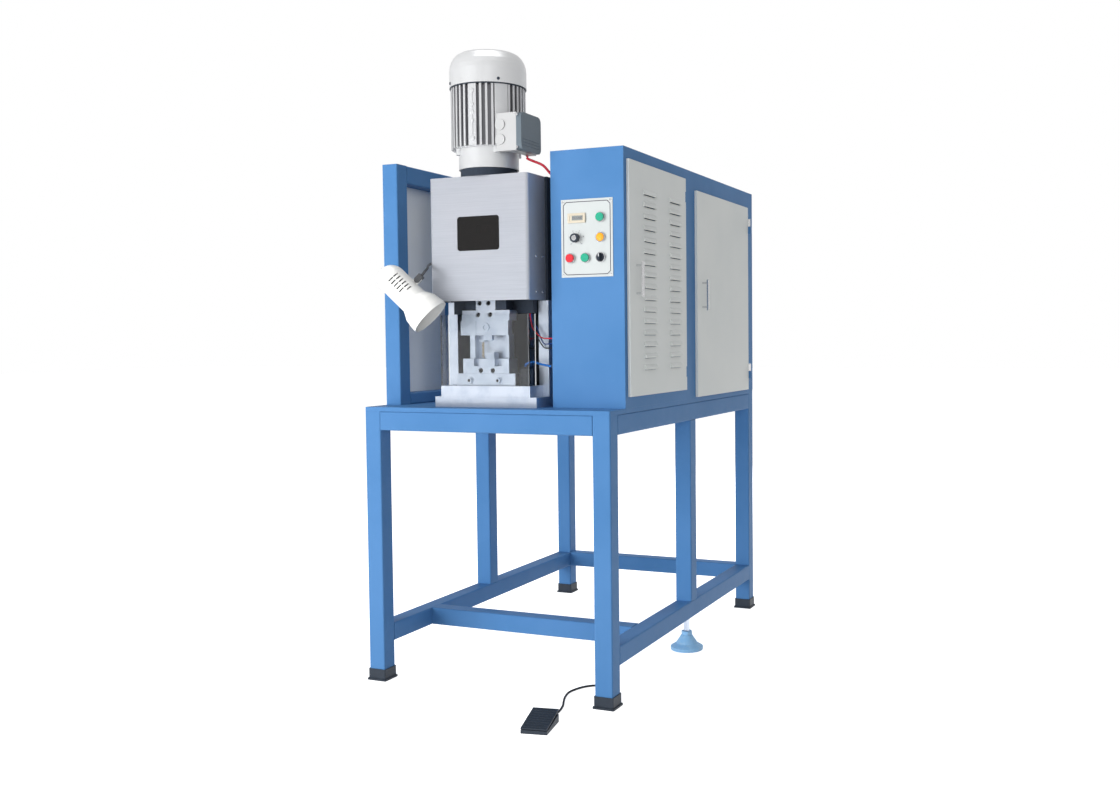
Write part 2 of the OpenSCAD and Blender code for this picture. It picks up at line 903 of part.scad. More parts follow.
module control_gear() {
    base = component_x + sheet_t;
    drive_y = component_y + 2 * spacer_d;
    drive_z = component_z + relay_h + 4 * spacer_d;
    machine("DimGray") {
        block([base, base + drive_d], [drive_y, drive_y + drive_w], [drive_z, drive_z + drive_h]);
        for (i = [0:relay_count - 1]) {
            y = component_y + 2 * spacer_d + i * (relay_w + relay_gap);
            block([base, base + relay_d], [y, y + relay_w],
                [component_z + 2 * spacer_d, component_z + 2 * spacer_d + relay_h]);
        }
    }
}

// Guard frame on the left

module guard_posts() {
    machine(frame_blue) for (y = [cabinet_y + tube_w / 2, guard_end - tube_w / 2]) tube_z(tube_w / 2, y,
        [table_h, cab_top]);
}

module guard_rails() {
    machine(frame_blue) {
        span = [cabinet_y + tube_w, guard_end - tube_w];
        tube_y(tube_w / 2, span, cab_top - tube_w);
        tube_y(tube_w / 2, span, table_h, guard_sill);
    }
}

module guard_panel() {
    machine(door_beige) block([guard_sheet_x, guard_sheet_x + sheet_t],
        [cabinet_y + tube_w, guard_end - tube_w],
        [table_h + guard_sill, cab_top - tube_w]);
}

// Press

module bed_lower() {
    machine(machined) block([column_x, column_end], [bed_y, head_end], [table_h, bed_z]);
}

module bed_upper() {
    machine(machined) block([column_x + bed_inset, column_end - bed_inset], [bed_y, column_y],
        [bed_z, deck_z]);
}

module columns() {
    machine(machined) for (x = [column_x, column_end - column_w])
        block([x, x + column_w], [column_y, head_end], [bed_z, throat_z]);
}

// The cover's outline as a square column, smaller by inset on every side
module cover_tube(inset, z) {
    side = cover_w - 2 * inset;
    translate([press_x, cover_y + cover_w / 2, z[0]]) linear_extrude(z[1] - z[0])
        polygon(round_rect(side, side, cover_r - inset));
}

module head() {
    top = cover_z - ledge_t;
    machine(black) difference() {
        union() {
            block([column_x, column_end], [column_y, head_end], [throat_z, cover_z]);
            intersection() {
                cover_tube(cover_t + slip, [top, cover_z]);
                block([column_x, column_end], [cover_y, column_y + over], [throat_z, cover_z]);
            }
            rod_z(press_x, motor_y, [cover_z - over, motor_z], 2 * (motor_y - cover_y - cover_t - over));
            rod_z(press_x, motor_y, [cover_z, motor_z], 2 * adapter_r);
            block([column_x + column_w + gap, column_end - column_w - gap],
                [head_end - back_wall, head_end],
                [bed_z, throat_z + over]);
        }
        block([column_x + head_wall, column_end - head_wall], [column_y + head_wall, head_end - head_wall],
            [throat_z + head_wall, top - head_wall]);
        rod_y(press_x, [column_y - over, head_end - head_wall / 2], crank_z, crank_shaft_d + 2 * run_fit);
        rod_z(press_x, motor_y, [top - over, motor_z + over], motor_shaft_d + 2 * run_fit);
        for (x = [cover_x + cover_t, cover_x + cover_w - cover_t]) for (y = cover_screw_y)
            rod_x([x - screw_d, x + screw_d], y, cover_z - ledge_t / 2, screw_d / 2);
    }
}

cover_screw_y = [80, 117];
cover_screw_h = [402, 308];

module press_cover() {
    machine(steel) difference() {
        cover_tube(0, [throat_z, cover_z]);
        cover_tube(cover_t, [throat_z - over, cover_z + over]);
        block([cover_x - over, cover_x + cover_w + over], [column_y, cover_y + cover_w + over],
            [throat_z - over, cover_z + over]);
        translate([press_x, cover_y - over, window_z + window_h / 2]) rotate([-90, 0, 0])
            linear_extrude(cover_t + 2 * over) polygon(round_rect(window_w, window_h, window_r));
    }
}

module cover_screws() {
    machine(steel) for (s = [-1, 1], y = cover_screw_y, h = cover_screw_h) {
        face = press_x + s * cover_w / 2;
        translate([face, y, table_h + h]) rotate([0, s * 90, 0])
            rotate_extrude() polygon([[0, 0], [screw_d / 2, 0], [screw_d / 2, cover_t / 2],
                [screw_d / 3, cover_t], [0, cover_t]]);
    }
}

pane_side_end = 97;
pane_lift = deck_z;

module clear_panes() {
    x0 = column_x + bed_inset + over;
    x1 = column_end - bed_inset - over;
    machine([0.8, 0.9, 1, 0.4]) {
        block([x0, x1], [bed_y, bed_y + pane_t], [pane_lift, pane_lift + pane_h]);
        for (x = [x0, x1 - pane_t])
            block([x, x + pane_t], [bed_y + pane_t + slip, pane_side_end], [pane_lift, pane_lift + pane_h]);
        translate([press_x, cover_y + cover_t, window_z + window_h / 2]) rotate([-90, 0,
            0]) linear_extrude(window_t)
            polygon(round_rect(window_w + 2 * window_lap, window_h + 2 * window_lap, window_r));
    }
}

module ram_guide() {
    plate_y = ram_y + ram_t + gap;
    machine(black) difference() {
        union() {
            block([press_x - guide_w / 2, press_x + guide_w / 2], [plate_y, column_y],
                [throat_z - guide_drop, guide_top]);
            block([press_x - gib_w / 2, press_x + gib_w / 2], [ram_y, column_y], [gib_base, guide_top]);
        }
        block([press_x - tongue_w / 2 - gap, press_x + tongue_w / 2 + gap], [ram_y - over, plate_y],
            [gib_base - over, guide_top + over]);
    }
}

// The ram: a block at the foot, a tongue in the guide and a yoke round the crank's roller
module ram() {
    slot_z = crank_z + crank_throw;
    yoke_half_w = slot_half_w + yoke_wall;
    yoke_half_h = slot_half_h + yoke_wall;
    machine(machined) difference() {
        union() {
            block([press_x - block_w / 2, press_x + block_w / 2], [ram_y, ram_y + ram_t],
                [ram_z, ram_z + block_h]);
            block([press_x - tongue_w / 2, press_x + tongue_w / 2], [ram_y, ram_y + ram_t],
                [ram_z, tongue_top]);
            block([press_x - tongue_w / 2, press_x + tongue_w / 2], [yoke_y, yoke_y + yoke_t],
                [ram_z, slot_z]);
            block([press_x - yoke_half_w, press_x + yoke_half_w], [yoke_y, yoke_y + yoke_t],
                [slot_z - yoke_half_h, slot_z + yoke_half_h]);
        }
        block([press_x - slot_half_w, press_x + slot_half_w], [yoke_y - over, yoke_y + yoke_t + over],
            [slot_z - slot_half_h, slot_z + slot_half_h]);
        for (s = ram_screws) rod_y(press_x + s[0], [ram_y - over, ram_y + ram_screw_d / 2], ram_z + s[1],
            ram_screw_d);
    }
}

// A tooth of the crown wheel: a radial bar that narrows towards its tip
module crown_tooth() {
    foot = crown_face_y + tooth_root + over;
    tip = crown_face_y - tooth_tip;
    translate([0, 0, crown_r - tooth_l / 2]) linear_extrude(tooth_l)
        polygon([[-tooth_half - tooth_taper, foot], [tooth_taper - tooth_half, tip],
            [tooth_half - tooth_taper, tip], [tooth_half + tooth_taper, foot]]);
}

module crankshaft() {
    shaft_end = head_end - head_wall / 2 - gap;
    wheel_back = column_y - gap;
    machine("Firebrick") {
        translate([press_x, 0, crank_z]) {
            rod_y(0, [crank_disc_y, crank_disc_y + crank_disc_t], 0, 2 * crank_disc_r);
            rod_y(0, [crank_disc_y + crank_disc_t / 2, crown_face_y + tooth_root + over], 0, crank_hub_d);
            rod_y(0, [crown_face_y + tooth_root, wheel_back], 0, 2 * (crown_r + crown_rim));
            rod_y(0, [crown_face_y, shaft_end], 0, crank_shaft_d);
            rod_y(0, [yoke_y - over, crank_disc_y + over], crank_throw, crank_pin_d);
            for (i = [0:crown_teeth - 1]) rotate([0, i * 360 / crown_teeth, 0]) crown_tooth();
        }
    }
}

// Applicator

module clamp_block() {
    machine(machined) {
        difference() {
            block([press_x + clamp_x[0], press_x + clamp_x[1]], [clamp_y, clamp_y + clamp_d],
                [deck_z, deck_z + clamp_h]);
            for (x = clamp_screws) rod_y(press_x + x, [clamp_y - over, clamp_y + washer_t],
                deck_z + clamp_screw_z, socket_d);
        }
        for (x = clamp_screws) difference() {
            union() {
                rod_y(press_x + x, [clamp_y - washer_t, clamp_y], deck_z + clamp_screw_z, washer_d);
                rod_y(press_x + x, [clamp_y - washer_t - screw_head_h, clamp_y], deck_z + clamp_screw_z,
                    screw_head_d);
            }
            rod_y(press_x + x, [clamp_y - 2 * screw_head_h, clamp_y - screw_head_h / 2],
                deck_z + clamp_screw_z, socket_d);
        }
    }
}

module applicator_frame() {
    base_z = deck_z + clamp_h;
    top_z = base_z + frame_h;
    back_y = upright_y + upright_d;
    frame_span = [frame_y, frame_y + frame_d];
    machine(machined) difference() {
        union() {
            block([press_x + frame_x[0], press_x + frame_x[1]], frame_span, [base_z, top_z]);
            for (u = [upright_a, upright_b])
                block([press_x + u[0], press_x + u[1]], [upright_y, back_y + back_t],
                    [top_z - over, top_z + upright_h]);
            block([press_x + upright_a[0], press_x + upright_b[1]], [back_y, back_y + back_t],
                [top_z - over, top_z + back_h]);
            block([press_x + spring_x - fork_r, press_x + spring_x + fork_r], [upright_y, back_y + over],
                [top_z + spring_h, top_z + spring_h + spring_lug_t]);
        }
        for (s = [slot_a, slot_b])
            block([press_x + s[0], press_x + s[1]], [frame_y - over, frame_y + slot_depth],
                [base_z + frame_h / 2, top_z + over]);
        for (x = applicator_screws)
            rod_y(press_x + x, [frame_y - over, frame_y + socket_d], base_z + socket_d, ram_screw_d);
    }
}

applicator_screws = [-21, 16];

module applicator_slide() {
    low = ram_z - slide_h;
    machine(machined) difference() {
        union() {
            block([press_x + slide_x[0], press_x + slide_x[1]], [ram_y, ram_y + slide_t], [low, ram_z]);
            block([press_x + punch_x[0], press_x + punch_x[1]], [ram_y + band_depth, ram_y + punch_t],
                [low - punch_h, low + over]);
            rod_y(press_x, [ram_y - boss_h, ram_y + over], low + boss_z, boss_d);
        }
        block([press_x + band_x[0] - boss_d / 2, press_x + band_x[1] - boss_d / 2],
            [ram_y - over, ram_y + band_depth], [low - over, ram_z + over]);
        rod_y(press_x, [ram_y - boss_h - over, ram_y], low + boss_z, boss_d / 2);
    }
}

module crimp_anvil() {
    base_z = deck_z + clamp_h + frame_h;
    machine(machined) {
        block([press_x + anvil_x[0], press_x + anvil_x[1]], [frame_y, frame_y + anvil_d],
            [base_z, base_z + anvil_h]);
    }
}

// A helix as one unbroken tube, with straight ends one wire thick
spring_pitch = (spring_h - 4 * spring_wire) / spring_turns;
spring_steps = 8 * spring_turns;
function spring_point(i) = [spring_coil_r * cos(45 * i), spring_coil_r * sin(45 * i),
    2 * spring_wire + spring_pitch * i / 8];
spring_line = [for (i = [0:spring_steps]) spring_point(i)];
spring_path = concat([[spring_coil_r, 0, spring_wire / 2], [spring_coil_r, 0, 1.5 * spring_wire]],
    spring_line,
    [[spring_coil_r, 0, spring_h - 1.5 * spring_wire], [spring_coil_r, 0, spring_h - spring_wire / 2]]);
echo(spring_least_gap = spring_pitch - spring_wire);

module applicator_spring() {
    n = len(spring_path);
    machine("Goldenrod") translate([press_x + spring_x, spring_y, deck_z + clamp_h + frame_h]) {
        rings = [for (i = [0:n - 1]) let(
                h = heading(spring_path, i), out = [cos(45 * (i - 2)), sin(45 * (i - 2)), 0],
                a = unit(cross(h, out)), b = cross(a, h)
            ) for (k = [0:5]) spring_path[i] + spring_wire / 2 * (a * cos(60 * k) + b * sin(60 * k))];
        ends = [[5, 4, 3, 2, 1, 0], [for (k = [0:5]) (n - 1) * 6 + k]];
        polyhedron(rings, concat(skin(n, 6), ends), convexity = 10);
    }
}

module air_valve() {
    machine("DimGray") {
        rod_z(valve_x, valve_y, [deck_z, deck_z + valve_h], valve_d);
        rod_z(valve_x, valve_y, [deck_z + valve_h - over, deck_z + valve_h + hose_d], 2 * hose_d);
    }
}

hose_start = [valve_x, valve_y, deck_z + valve_h + hose_d + 2 * gap];
hose_back = 23;
hose_rise = 52;
hose_end = [cab_x, valve_y + hose_back, deck_z + hose_rise];

module air_hose() {
    rise = hose_start[2] + hose_d;
    route = [hose_start, [valve_x + over, valve_y + over, rise],
        [valve_x + 2 * hose_d, valve_y + 2 * hose_d, rise + hose_d],
        [(valve_x + cab_x) / 2, (valve_y + hose_end[1]) / 2, rise],
            [cab_x - 3 * hose_d, hose_end[1], hose_end[2]],
        [cab_x - gland_out - 2 * gap, hose_end[1], hose_end[2]]];
    machine("DodgerBlue") sweep(curve(route, 5), hose_d, 10);
}

// Motor

// Plain strips between the fins: their directions and widths
motor_pads = [[-85, 22], [-40, 36], [95, 22]];

module motor_body() {
    machine("Silver") translate([press_x, motor_y, body_z]) difference() {
        linear_extrude(motor_body_h) {
            circle(core_r);
            for (i = [0:fin_count - 1]) rotate(i * 360 / fin_count) translate([0,
                -fin_t / 2]) square([motor_r, fin_t]);
            for (p = motor_pads) rotate(p[0]) intersection() {
                translate([0, -p[1] / 2]) square([motor_r, p[1]]);
                circle(motor_r);
            }
        }
        translate([0, 0, end_wall]) cylinder(r = bore_r, h = motor_body_h - 2 * end_wall);
        translate([0, 0, -over]) cylinder(d = motor_shaft_d + 2 * run_fit, h = motor_body_h + 2 * over);
    }
}

// Rings of air slots in the cowl's top
cowl_slots = [[16, 36], [42, 62]];
cowl_slot_w = 6;
cowl_slot_count = 10;

module motor_cowl() {
    machine("WhiteSmoke") translate([press_x, motor_y, cowl_z]) difference() {
        rotate_extrude() polygon(concat(
        [[0, cowl_h]], [for (a = [90:-15:0]) [cowl_top_r + (cowl_r - cowl_top_r) * cos(a),
            cowl_skirt + (cowl_h - cowl_skirt) * sin(a)]],
        [[cowl_r, 0], [cowl_r - cowl_t, 0]],
        [for (a = [0:15:90]) [cowl_top_r - cowl_t + (cowl_r - cowl_top_r) * cos(a),
            cowl_skirt - cowl_t + (cowl_h - cowl_skirt) * sin(a)]],
        [[0, cowl_h - cowl_t]]));
        for (ring = [0:len(cowl_slots) - 1], a = [0:360 / cowl_slot_count:359]) rotate(a
            + ring * 180 / cowl_slot_count)
            block(cowl_slots[ring], [-cowl_slot_w / 2, cowl_slot_w / 2],
                [cowl_h - 2 * cowl_t, cowl_h + over]);
    }
    machine("WhiteSmoke") for (a = [45:90:315]) translate([press_x, motor_y,
        body_z + motor_body_h]) rotate(a)
        translate([core_r - cowl_gap, 0, 0]) block([0, cowl_r - core_r + cowl_gap - cowl_t / 2],
            [-fin_t / 2, fin_t / 2], [0, 4 * cowl_gap]);
}

flange_bolt_d = 10;
flange_bolt_h = 8;

module motor_flange() {
    machine("Silver") difference() {
        union() {
            rod_z(press_x, motor_y, [motor_z, body_z], 2 * flange_r);
            for (a = [45:90:315]) translate([press_x, motor_y, 0]) rotate(a)
                rod_z(flange_r, 0, [body_z - 2 * flange_bolt_h, body_z], 2 * flange_bolt_d);
        }
        rod_z(press_x, motor_y, [motor_z - over, body_z + over], motor_shaft_d + 2 * over);
    }
}

module terminal_box() {
    low = body_z - box_drop;
    y = [motor_y + box_y, motor_y + box_y + box_d];
    z = [low, low + box_h];
    mid = [(y[0] + y[1]) / 2, (z[0] + z[1]) / 2];
    machine("WhiteSmoke") {
        difference() {
            union() {
                block([press_x + box_x, press_x + box_end], y, z);
                for (p = plug_z) rod_y(press_x + plug_x, [y[0] - plug_out, y[0] + over], low + p, plug_d);
            }
            rod_z(press_x, motor_y, [low - over, low + box_h + over], 2 * (motor_r + over));
        }
        translate([press_x + box_end - over, mid[0], mid[1]]) rotate([90, 0, 90])
            linear_extrude(lid_t + over) polygon(round_rect(box_d, box_h, lid_t));
    }
}

module rotor() {
    fan_z = cowl_z + cowl_gap;
    pinion_z = crank_z + crown_r - pinion_h / 2;
    machine("Gray") translate([press_x, motor_y, 0]) {
        rod_z(0, 0, [pinion_z, fan_z + fan_h], motor_shaft_d);
        rod_z(0, 0, [body_z + end_wall + over, body_z + motor_body_h - end_wall - over], 2 * rotor_r);
        rod_z(0, 0, [fan_z, fan_z + cowl_gap], 2 * fan_r);
        for (i = [0:fan_blades - 1]) rotate(i * 360 / fan_blades)
            block([motor_shaft_d / 4, fan_r], [-cowl_t / 2, cowl_t / 2], [fan_z + over, fan_z + fan_h]);
        translate([0, 0, pinion_z]) linear_extrude(pinion_h) {
            circle(pinion_r - tooth_root);
            for (i = [0:pinion_teeth - 1]) rotate((i + 0.5) * 360 / pinion_teeth + 90)
                polygon([[0, -tooth_half - tooth_taper], [pinion_r - tooth_root, -tooth_half - tooth_taper],
                    [pinion_r + tooth_tip, tooth_taper - tooth_half],
                        [pinion_r + tooth_tip, tooth_half - tooth_taper],
                    [pinion_r - tooth_root, tooth_half + tooth_taper], [0, tooth_half + tooth_taper]]);
        }
    }
}

// Glands where the cords pass through the sheet

gland_hole_d = 16;
gland_d = 20;
gland_out = 8;
gland_in = 10;
inlet_hole_d = 20;
inlet_bore_d = 11;
inlet_l = 34;
inlet_x = cab_x + cabinet_w / 2;
inlet_z = table_h + 60;
grommet_d = 14;
cable_back = 20;
cable_end_y = 150;
cable_end_rise = 4;
cable_start = [press_x + plug_x + plug_d, motor_y + cable_back, body_z - box_drop - 2 * gap];
cable_end = [cab_x, cable_end_y, cover_z + cable_end_rise];

module gland(at) {
    rod_x([cab_x - gland_out, cab_x], at[1], at[2], gland_d);
    rod_x([cab_x - over, cab_x + sheet_t + gland_in], at[1], at[2], gland_hole_d - slip);
}

module cable_glands() {
    machine(black) {
        gland(cable_end);
        gland(hose_end);
        difference() {
            union() {
                rod_y(inlet_x, [table_d - sheet_t - gland_in, table_d + over], inlet_z,
                    inlet_hole_d - slip);
                rod_y(inlet_x, [table_d, table_d + cap_lip - over], inlet_z, inlet_hole_d + gland_out);
            }
            rod_y(inlet_x, [table_d - inlet_l, table_d + inlet_l], inlet_z, inlet_bore_d);
        }
        difference() {
            rod_y(right_x + tube_w / 2, [tube_w - tube_wall - over, tube_w + tube_wall], grommet_z,
                grommet_d - slip);
            rod_y(right_x + tube_w / 2, [tube_w - tube_wall - 2 * over, tube_w], grommet_z, cord_d);
        }
    }
}

module motor_cable() {
    route = [cable_start, cable_start - [0, 0, cable_d],
        [cable_start[0] + 2 * cable_d, cable_start[1] + over, cable_start[2] - 2 * cable_d],
        [(cable_start[0] + cab_x) / 2, (cable_start[1] + cable_end[1]) / 2,
            (cable_start[2] + cable_end[2]) / 2],
        [cab_x - gland_out - 2 * cable_d, cable_end[1] - over, cable_end[2] + cable_d / 2],
            [cab_x - gland_out - 2 * gap, cable_end[1], cable_end[2]]];
    machine("Crimson") sweep(curve(route, 4), cable_d, 10);
}

// Lamp

lamp_origin = [column_x + lamp_at[0], lamp_at[1], table_h + lamp_at[2]];

// Draws in the lamp's own frame: Z along the shade's axis towards its mouth, X up and back
module lamp_frame() {
    translate(lamp_origin) rotate([0, 0, lamp_yaw]) rotate([0, 90 + lamp_pitch, 0]) children();
}

function shade_outline(r, back, mid_r, mouth_r) = concat(
    [for (a = [90:-10:0]) [r * cos(a), back - r * sin(a)]],
    [[r, shade_flare_start], [(r + mid_r) / 2, (shade_flare_start + shade_flare_mid) / 2],
        [mid_r, shade_flare_mid],
    [mouth_r, shade_flare_end], [mouth_r, shade_mouth]]);
shade_outer = shade_outline(shade_r, shade_back, shade_mid_r, shade_mouth_r);
shade_inner = shade_outline(shade_r - shade_t, shade_back, shade_mid_r - shade_t, shade_mouth_r - shade_t);

module lamp_shade() {
    machine("White") lamp_frame() {
        difference() {
            rotate_extrude()
                polygon(concat(shade_outer, [for (i = [len(shade_inner) - 1:-1:0]) shade_inner[i]]));
            for (a = vent_turns, i = [0:vent_count - 1]) rotate(a)
                block([shade_r - 2 * fork_gap, shade_r + over], [-vent_l / 2, vent_l / 2],
                    [vent_first + i * vent_pitch, vent_first + i * vent_pitch + vent_w]);
        }
        difference() {
            block([pin_x - fork_r, over - shade_r], [-fork_gap / 2 + gap, fork_gap / 2 - gap],
                [joint_along - fork_r, joint_along + fork_r]);
            rod_y(pin_x, [-fork_gap, fork_gap], joint_along, lamp_pin_d + 2 * run_fit);
        }
    }
}

// A point of the lamp's frame in table coordinates
function from_lamp(p) = let(b = 90 + lamp_pitch, x = p[0] * cos(b) + p[2] * sin(b),
    z = p[2] * cos(b) - p[0] * sin(b))
    lamp_origin + [x * cos(lamp_yaw) - p[1] * sin(lamp_yaw), x * sin(lamp_yaw) + p[1] * cos(lamp_yaw), z];

pin_x = -shade_r - fork_r - over;
fork_back = pin_x - 2 * fork_r;
neck_foot_back = 41;
neck_foot_rise = 400;
neck_foot = [column_x - neck_foot_t, column_y + neck_foot_back, table_h + neck_foot_rise];
neck_way = [[17, -10, 364], [15, 6, 373], [6, 24, 380], [-5, 46, 386], [-14, 76, 392], [-22, 112, 398],
    [-23, 144, 400], [-18, 167, 400]];

module lamp_neck() {
    lift = [column_x, 0, table_h];
    machine("DimGray") {
        sweep(curve(concat([from_lamp([fork_back + over, 0, joint_along]),
            from_lamp([fork_back - neck_d, 0, joint_along])],
            [for (p = neck_way) p + lift], [neck_foot]), 4), neck_d, 10);
        rod_x([neck_foot[0], column_x], neck_foot[1], neck_foot[2], neck_foot_d);
        lamp_frame() {
            x = pin_x;
            for (s = [-1, 1]) {
                y = s > 0 ? [fork_gap / 2, fork_gap / 2 + fork_t] : [-fork_gap / 2 - fork_t, -fork_gap / 2];
                rod_y(x, y, joint_along, 2 * fork_r);
                block([x - 2 * fork_r, x], y, [joint_along - fork_r, joint_along + fork_r]);
            }
            rod_y(x, [-fork_gap / 2 - fork_t, fork_gap / 2 + fork_t], joint_along, lamp_pin_d);
            block([fork_back, fork_back + fork_t], [-fork_gap / 2 - fork_t, fork_gap / 2 + fork_t],
                [joint_along - fork_r, joint_along + fork_r]);
        }
    }
}

// Foot switch

module pedal_frame() {
    translate([pedal_at[0], pedal_at[1], 0]) rotate(pedal_turn) translate([-pedal_w / 2, -pedal_l / 2,
        0]) children();
}

// Extrudes an outline drawn in Y and Z across a width along X
module across(x) {
    translate([x[0], 0, 0]) rotate([90, 0, 90]) linear_extrude(x[1] - x[0]) children();
}

pedal_pin_y = 8;
pedal_pin_z = 7.5;
lug_w = 8;
relief_x = 12;
relief_d = 11;
relief_out = 6;
relief_z = 9;

// A point of the foot switch in table coordinates, measured from its middle
function from_pedal(x, y, z) = [pedal_at[0] + x * cos(pedal_turn) - y * sin(pedal_turn),
    pedal_at[1] + x * sin(pedal_turn) + y * cos(pedal_turn), z];

module pedal_base() {
    machine(black) pedal_frame() difference() {
        union() {
            difference() {
                across([0, pedal_w]) polygon([[0, 0], [pedal_l, 0], [pedal_l, pedal_high],
                    [2 * pedal_pin_y, pedal_low], [0, pedal_low]]);
                across([pedal_wall, pedal_w - pedal_wall]) polygon([[pedal_wall, pedal_floor],
                    [pedal_l - pedal_wall, pedal_floor],
                    [pedal_l - pedal_wall, pedal_high + over], [pedal_wall, pedal_high + over]]);
            }
            for (x = [pedal_wall + over, pedal_w - pedal_wall - over - lug_w])
                block([x, x + lug_w], [pedal_pin_y - pedal_pin_d, pedal_pin_y + pedal_pin_d],
                    [pedal_floor - over, pedal_pin_z + pedal_pin_d / 2]);
            rod_x([pedal_wall / 2, pedal_w - pedal_wall / 2], pedal_pin_y, pedal_pin_z, pedal_pin_d);
            rod_y(pedal_w / 2 + relief_x, [pedal_l - pedal_wall / 2, pedal_l + relief_out], relief_z,
                relief_d);
        }
    }
}

module pedal_treadle() {
    slope = (treadle_high - treadle_low) / pedal_l;
    barrel = [pedal_w / 2 - lug_w, pedal_w / 2 + lug_w];
    barrel_r = pedal_pin_d - gap;
    machine(black) pedal_frame() difference() {
        union() {
            across([0, pedal_w]) polygon([[0, treadle_low - treadle_t], [pedal_l, treadle_high - treadle_t],
                [pedal_l, treadle_high], [0, treadle_low]]);
            for (i = [0:rib_count - 1]) {
                y = (i + 0.5) * pedal_l / rib_count;
                z = treadle_low + slope * y;
                across([rib_w, pedal_w - rib_w]) polygon([[y, z - over],
                    [y + rib_w, z - over + slope * rib_w],
                    [y + rib_w, z + rib_h], [y, z + rib_h]]);
            }
            across(barrel) polygon([[pedal_pin_y - barrel_r, pedal_pin_z],
                [pedal_pin_y + barrel_r, pedal_pin_z],
                [pedal_pin_y + barrel_r, treadle_low - over],
                    [pedal_pin_y - barrel_r, treadle_low - over]]);
            rod_x(barrel, pedal_pin_y, pedal_pin_z, 2 * barrel_r);
        }
        rod_x([0, pedal_w], pedal_pin_y, pedal_pin_z, pedal_pin_d + 2 * run_fit);
    }
}

// The cord starts at the foot switch's strain relief and ends at the grommet in the leg
module pedal_cord() {
    tail = pedal_l / 2 + relief_out;
    leg_x = right_x + tube_w / 2;
    leg_face = tube_w + tube_wall;
    route = concat([from_pedal(relief_x, tail, relief_z), from_pedal(relief_x, tail + cord_d, relief_z)],
        [for (p = cord_way) [table_w + p[0], p[1], p[2]]],
        [[leg_x, leg_face + cord_d, grommet_z], [leg_x, leg_face, grommet_z]]);
    machine(black) sweep([for (p = curve(route, 2)) [p[0], p[1], max(p[2], cord_d / 2)]], cord_d, 8);
}

table_legs();
table_rails();
table_top();
side_stretchers();
cross_stretchers();
foot_caps();
levelling_stud();
levelling_base();
cabinet_front();
cabinet_side_frame();
cabinet_shell();
louvred_door();
louvred_handle();
plain_door();
plain_handle();
hinge_frame_halves();
hinge_door_halves();
control_plate();
switch_bodies();
start_button();
jog_button();
stop_button();
pilot_lens();
selector_knob();
speed_knob();
counter();
component_plate();
control_gear();
guard_posts();
guard_rails();
guard_panel();
bed_lower();
bed_upper();
columns();
head();
press_cover();
cover_screws();
clear_panes();
ram_guide();
ram();
crankshaft();
clamp_block();
applicator_frame();
applicator_slide();
crimp_anvil();
applicator_spring();
air_valve();
air_hose();
motor_body();
motor_cowl();
motor_flange();
terminal_box();
rotor();
motor_cable();
lamp_neck();
lamp_shade();
pedal_base();
pedal_treadle();
pedal_cord();
cable_glands();
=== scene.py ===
import math
import bpy
from mathutils import Matrix, Vector


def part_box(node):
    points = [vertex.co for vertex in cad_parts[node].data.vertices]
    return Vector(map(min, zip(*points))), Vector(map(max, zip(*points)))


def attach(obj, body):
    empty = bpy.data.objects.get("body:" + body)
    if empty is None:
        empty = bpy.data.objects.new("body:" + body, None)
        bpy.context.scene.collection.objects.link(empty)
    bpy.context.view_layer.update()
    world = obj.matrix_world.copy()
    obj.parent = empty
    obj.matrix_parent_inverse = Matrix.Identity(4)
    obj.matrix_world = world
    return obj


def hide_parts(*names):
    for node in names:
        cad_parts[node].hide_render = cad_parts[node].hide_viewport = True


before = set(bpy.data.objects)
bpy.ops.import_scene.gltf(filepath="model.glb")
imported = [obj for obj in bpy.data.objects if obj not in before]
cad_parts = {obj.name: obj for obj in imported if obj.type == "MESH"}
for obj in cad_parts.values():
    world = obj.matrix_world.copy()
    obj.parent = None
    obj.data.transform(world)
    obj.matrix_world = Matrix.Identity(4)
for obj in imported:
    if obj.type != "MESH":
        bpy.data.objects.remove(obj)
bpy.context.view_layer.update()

# Camera: it stands at the operator's right, at chest height, and looks a little down.
# Its lens and its small shift give the picture's framing of 1120 by 792. The model's origin
# is on the floor, under the middle of the whole machine.
MIDDLE = Vector((381.25, 496.2646, 0))
CAMERA_PLACE = (1904.71, -2601.70, 942.46)
TURN, TILT, ROLL = math.radians(22.991), math.radians(-2.446), math.radians(-0.514)
SENSOR_WIDTH, LENS = 36, 36.646
SHIFT_ACROSS, SHIFT_UP = -0.0643, -0.0081


def at(x, y, z):
    """A place measured in millimetres from the table's front left corner and the floor."""
    return (Vector((x, y, z)) - MIDDLE) / 1000


def reach(node):
    """The lowest and highest corners of a CAD node, in the same millimetres."""
    return [corner * 1000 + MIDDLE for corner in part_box(node)]


ahead = Vector((-math.sin(TURN) * math.cos(TILT), math.cos(TURN) * math.cos(TILT),
                math.sin(TILT)))
level_right = Vector((math.cos(TURN), math.sin(TURN), 0))
level_up = level_right.cross(ahead)
view_right = math.cos(ROLL) * level_right + math.sin(ROLL) * level_up
view_up = math.cos(ROLL) * level_up - math.sin(ROLL) * level_right
camera_data = bpy.data.cameras.new("camera")
camera_data.sensor_width, camera_data.lens = SENSOR_WIDTH, LENS
camera_data.shift_x, camera_data.shift_y = SHIFT_ACROSS, SHIFT_UP
camera = bpy.data.objects.new("camera", camera_data)
bpy.context.scene.collection.objects.link(camera)
facing = Matrix((view_right, view_up, -ahead)).transposed().to_4x4()
camera.matrix_world = Matrix.Translation(at(*CAMERA_PLACE)) @ facing
bpy.context.scene.camera = camera
bpy.context.scene.view_settings.view_transform = "Standard"

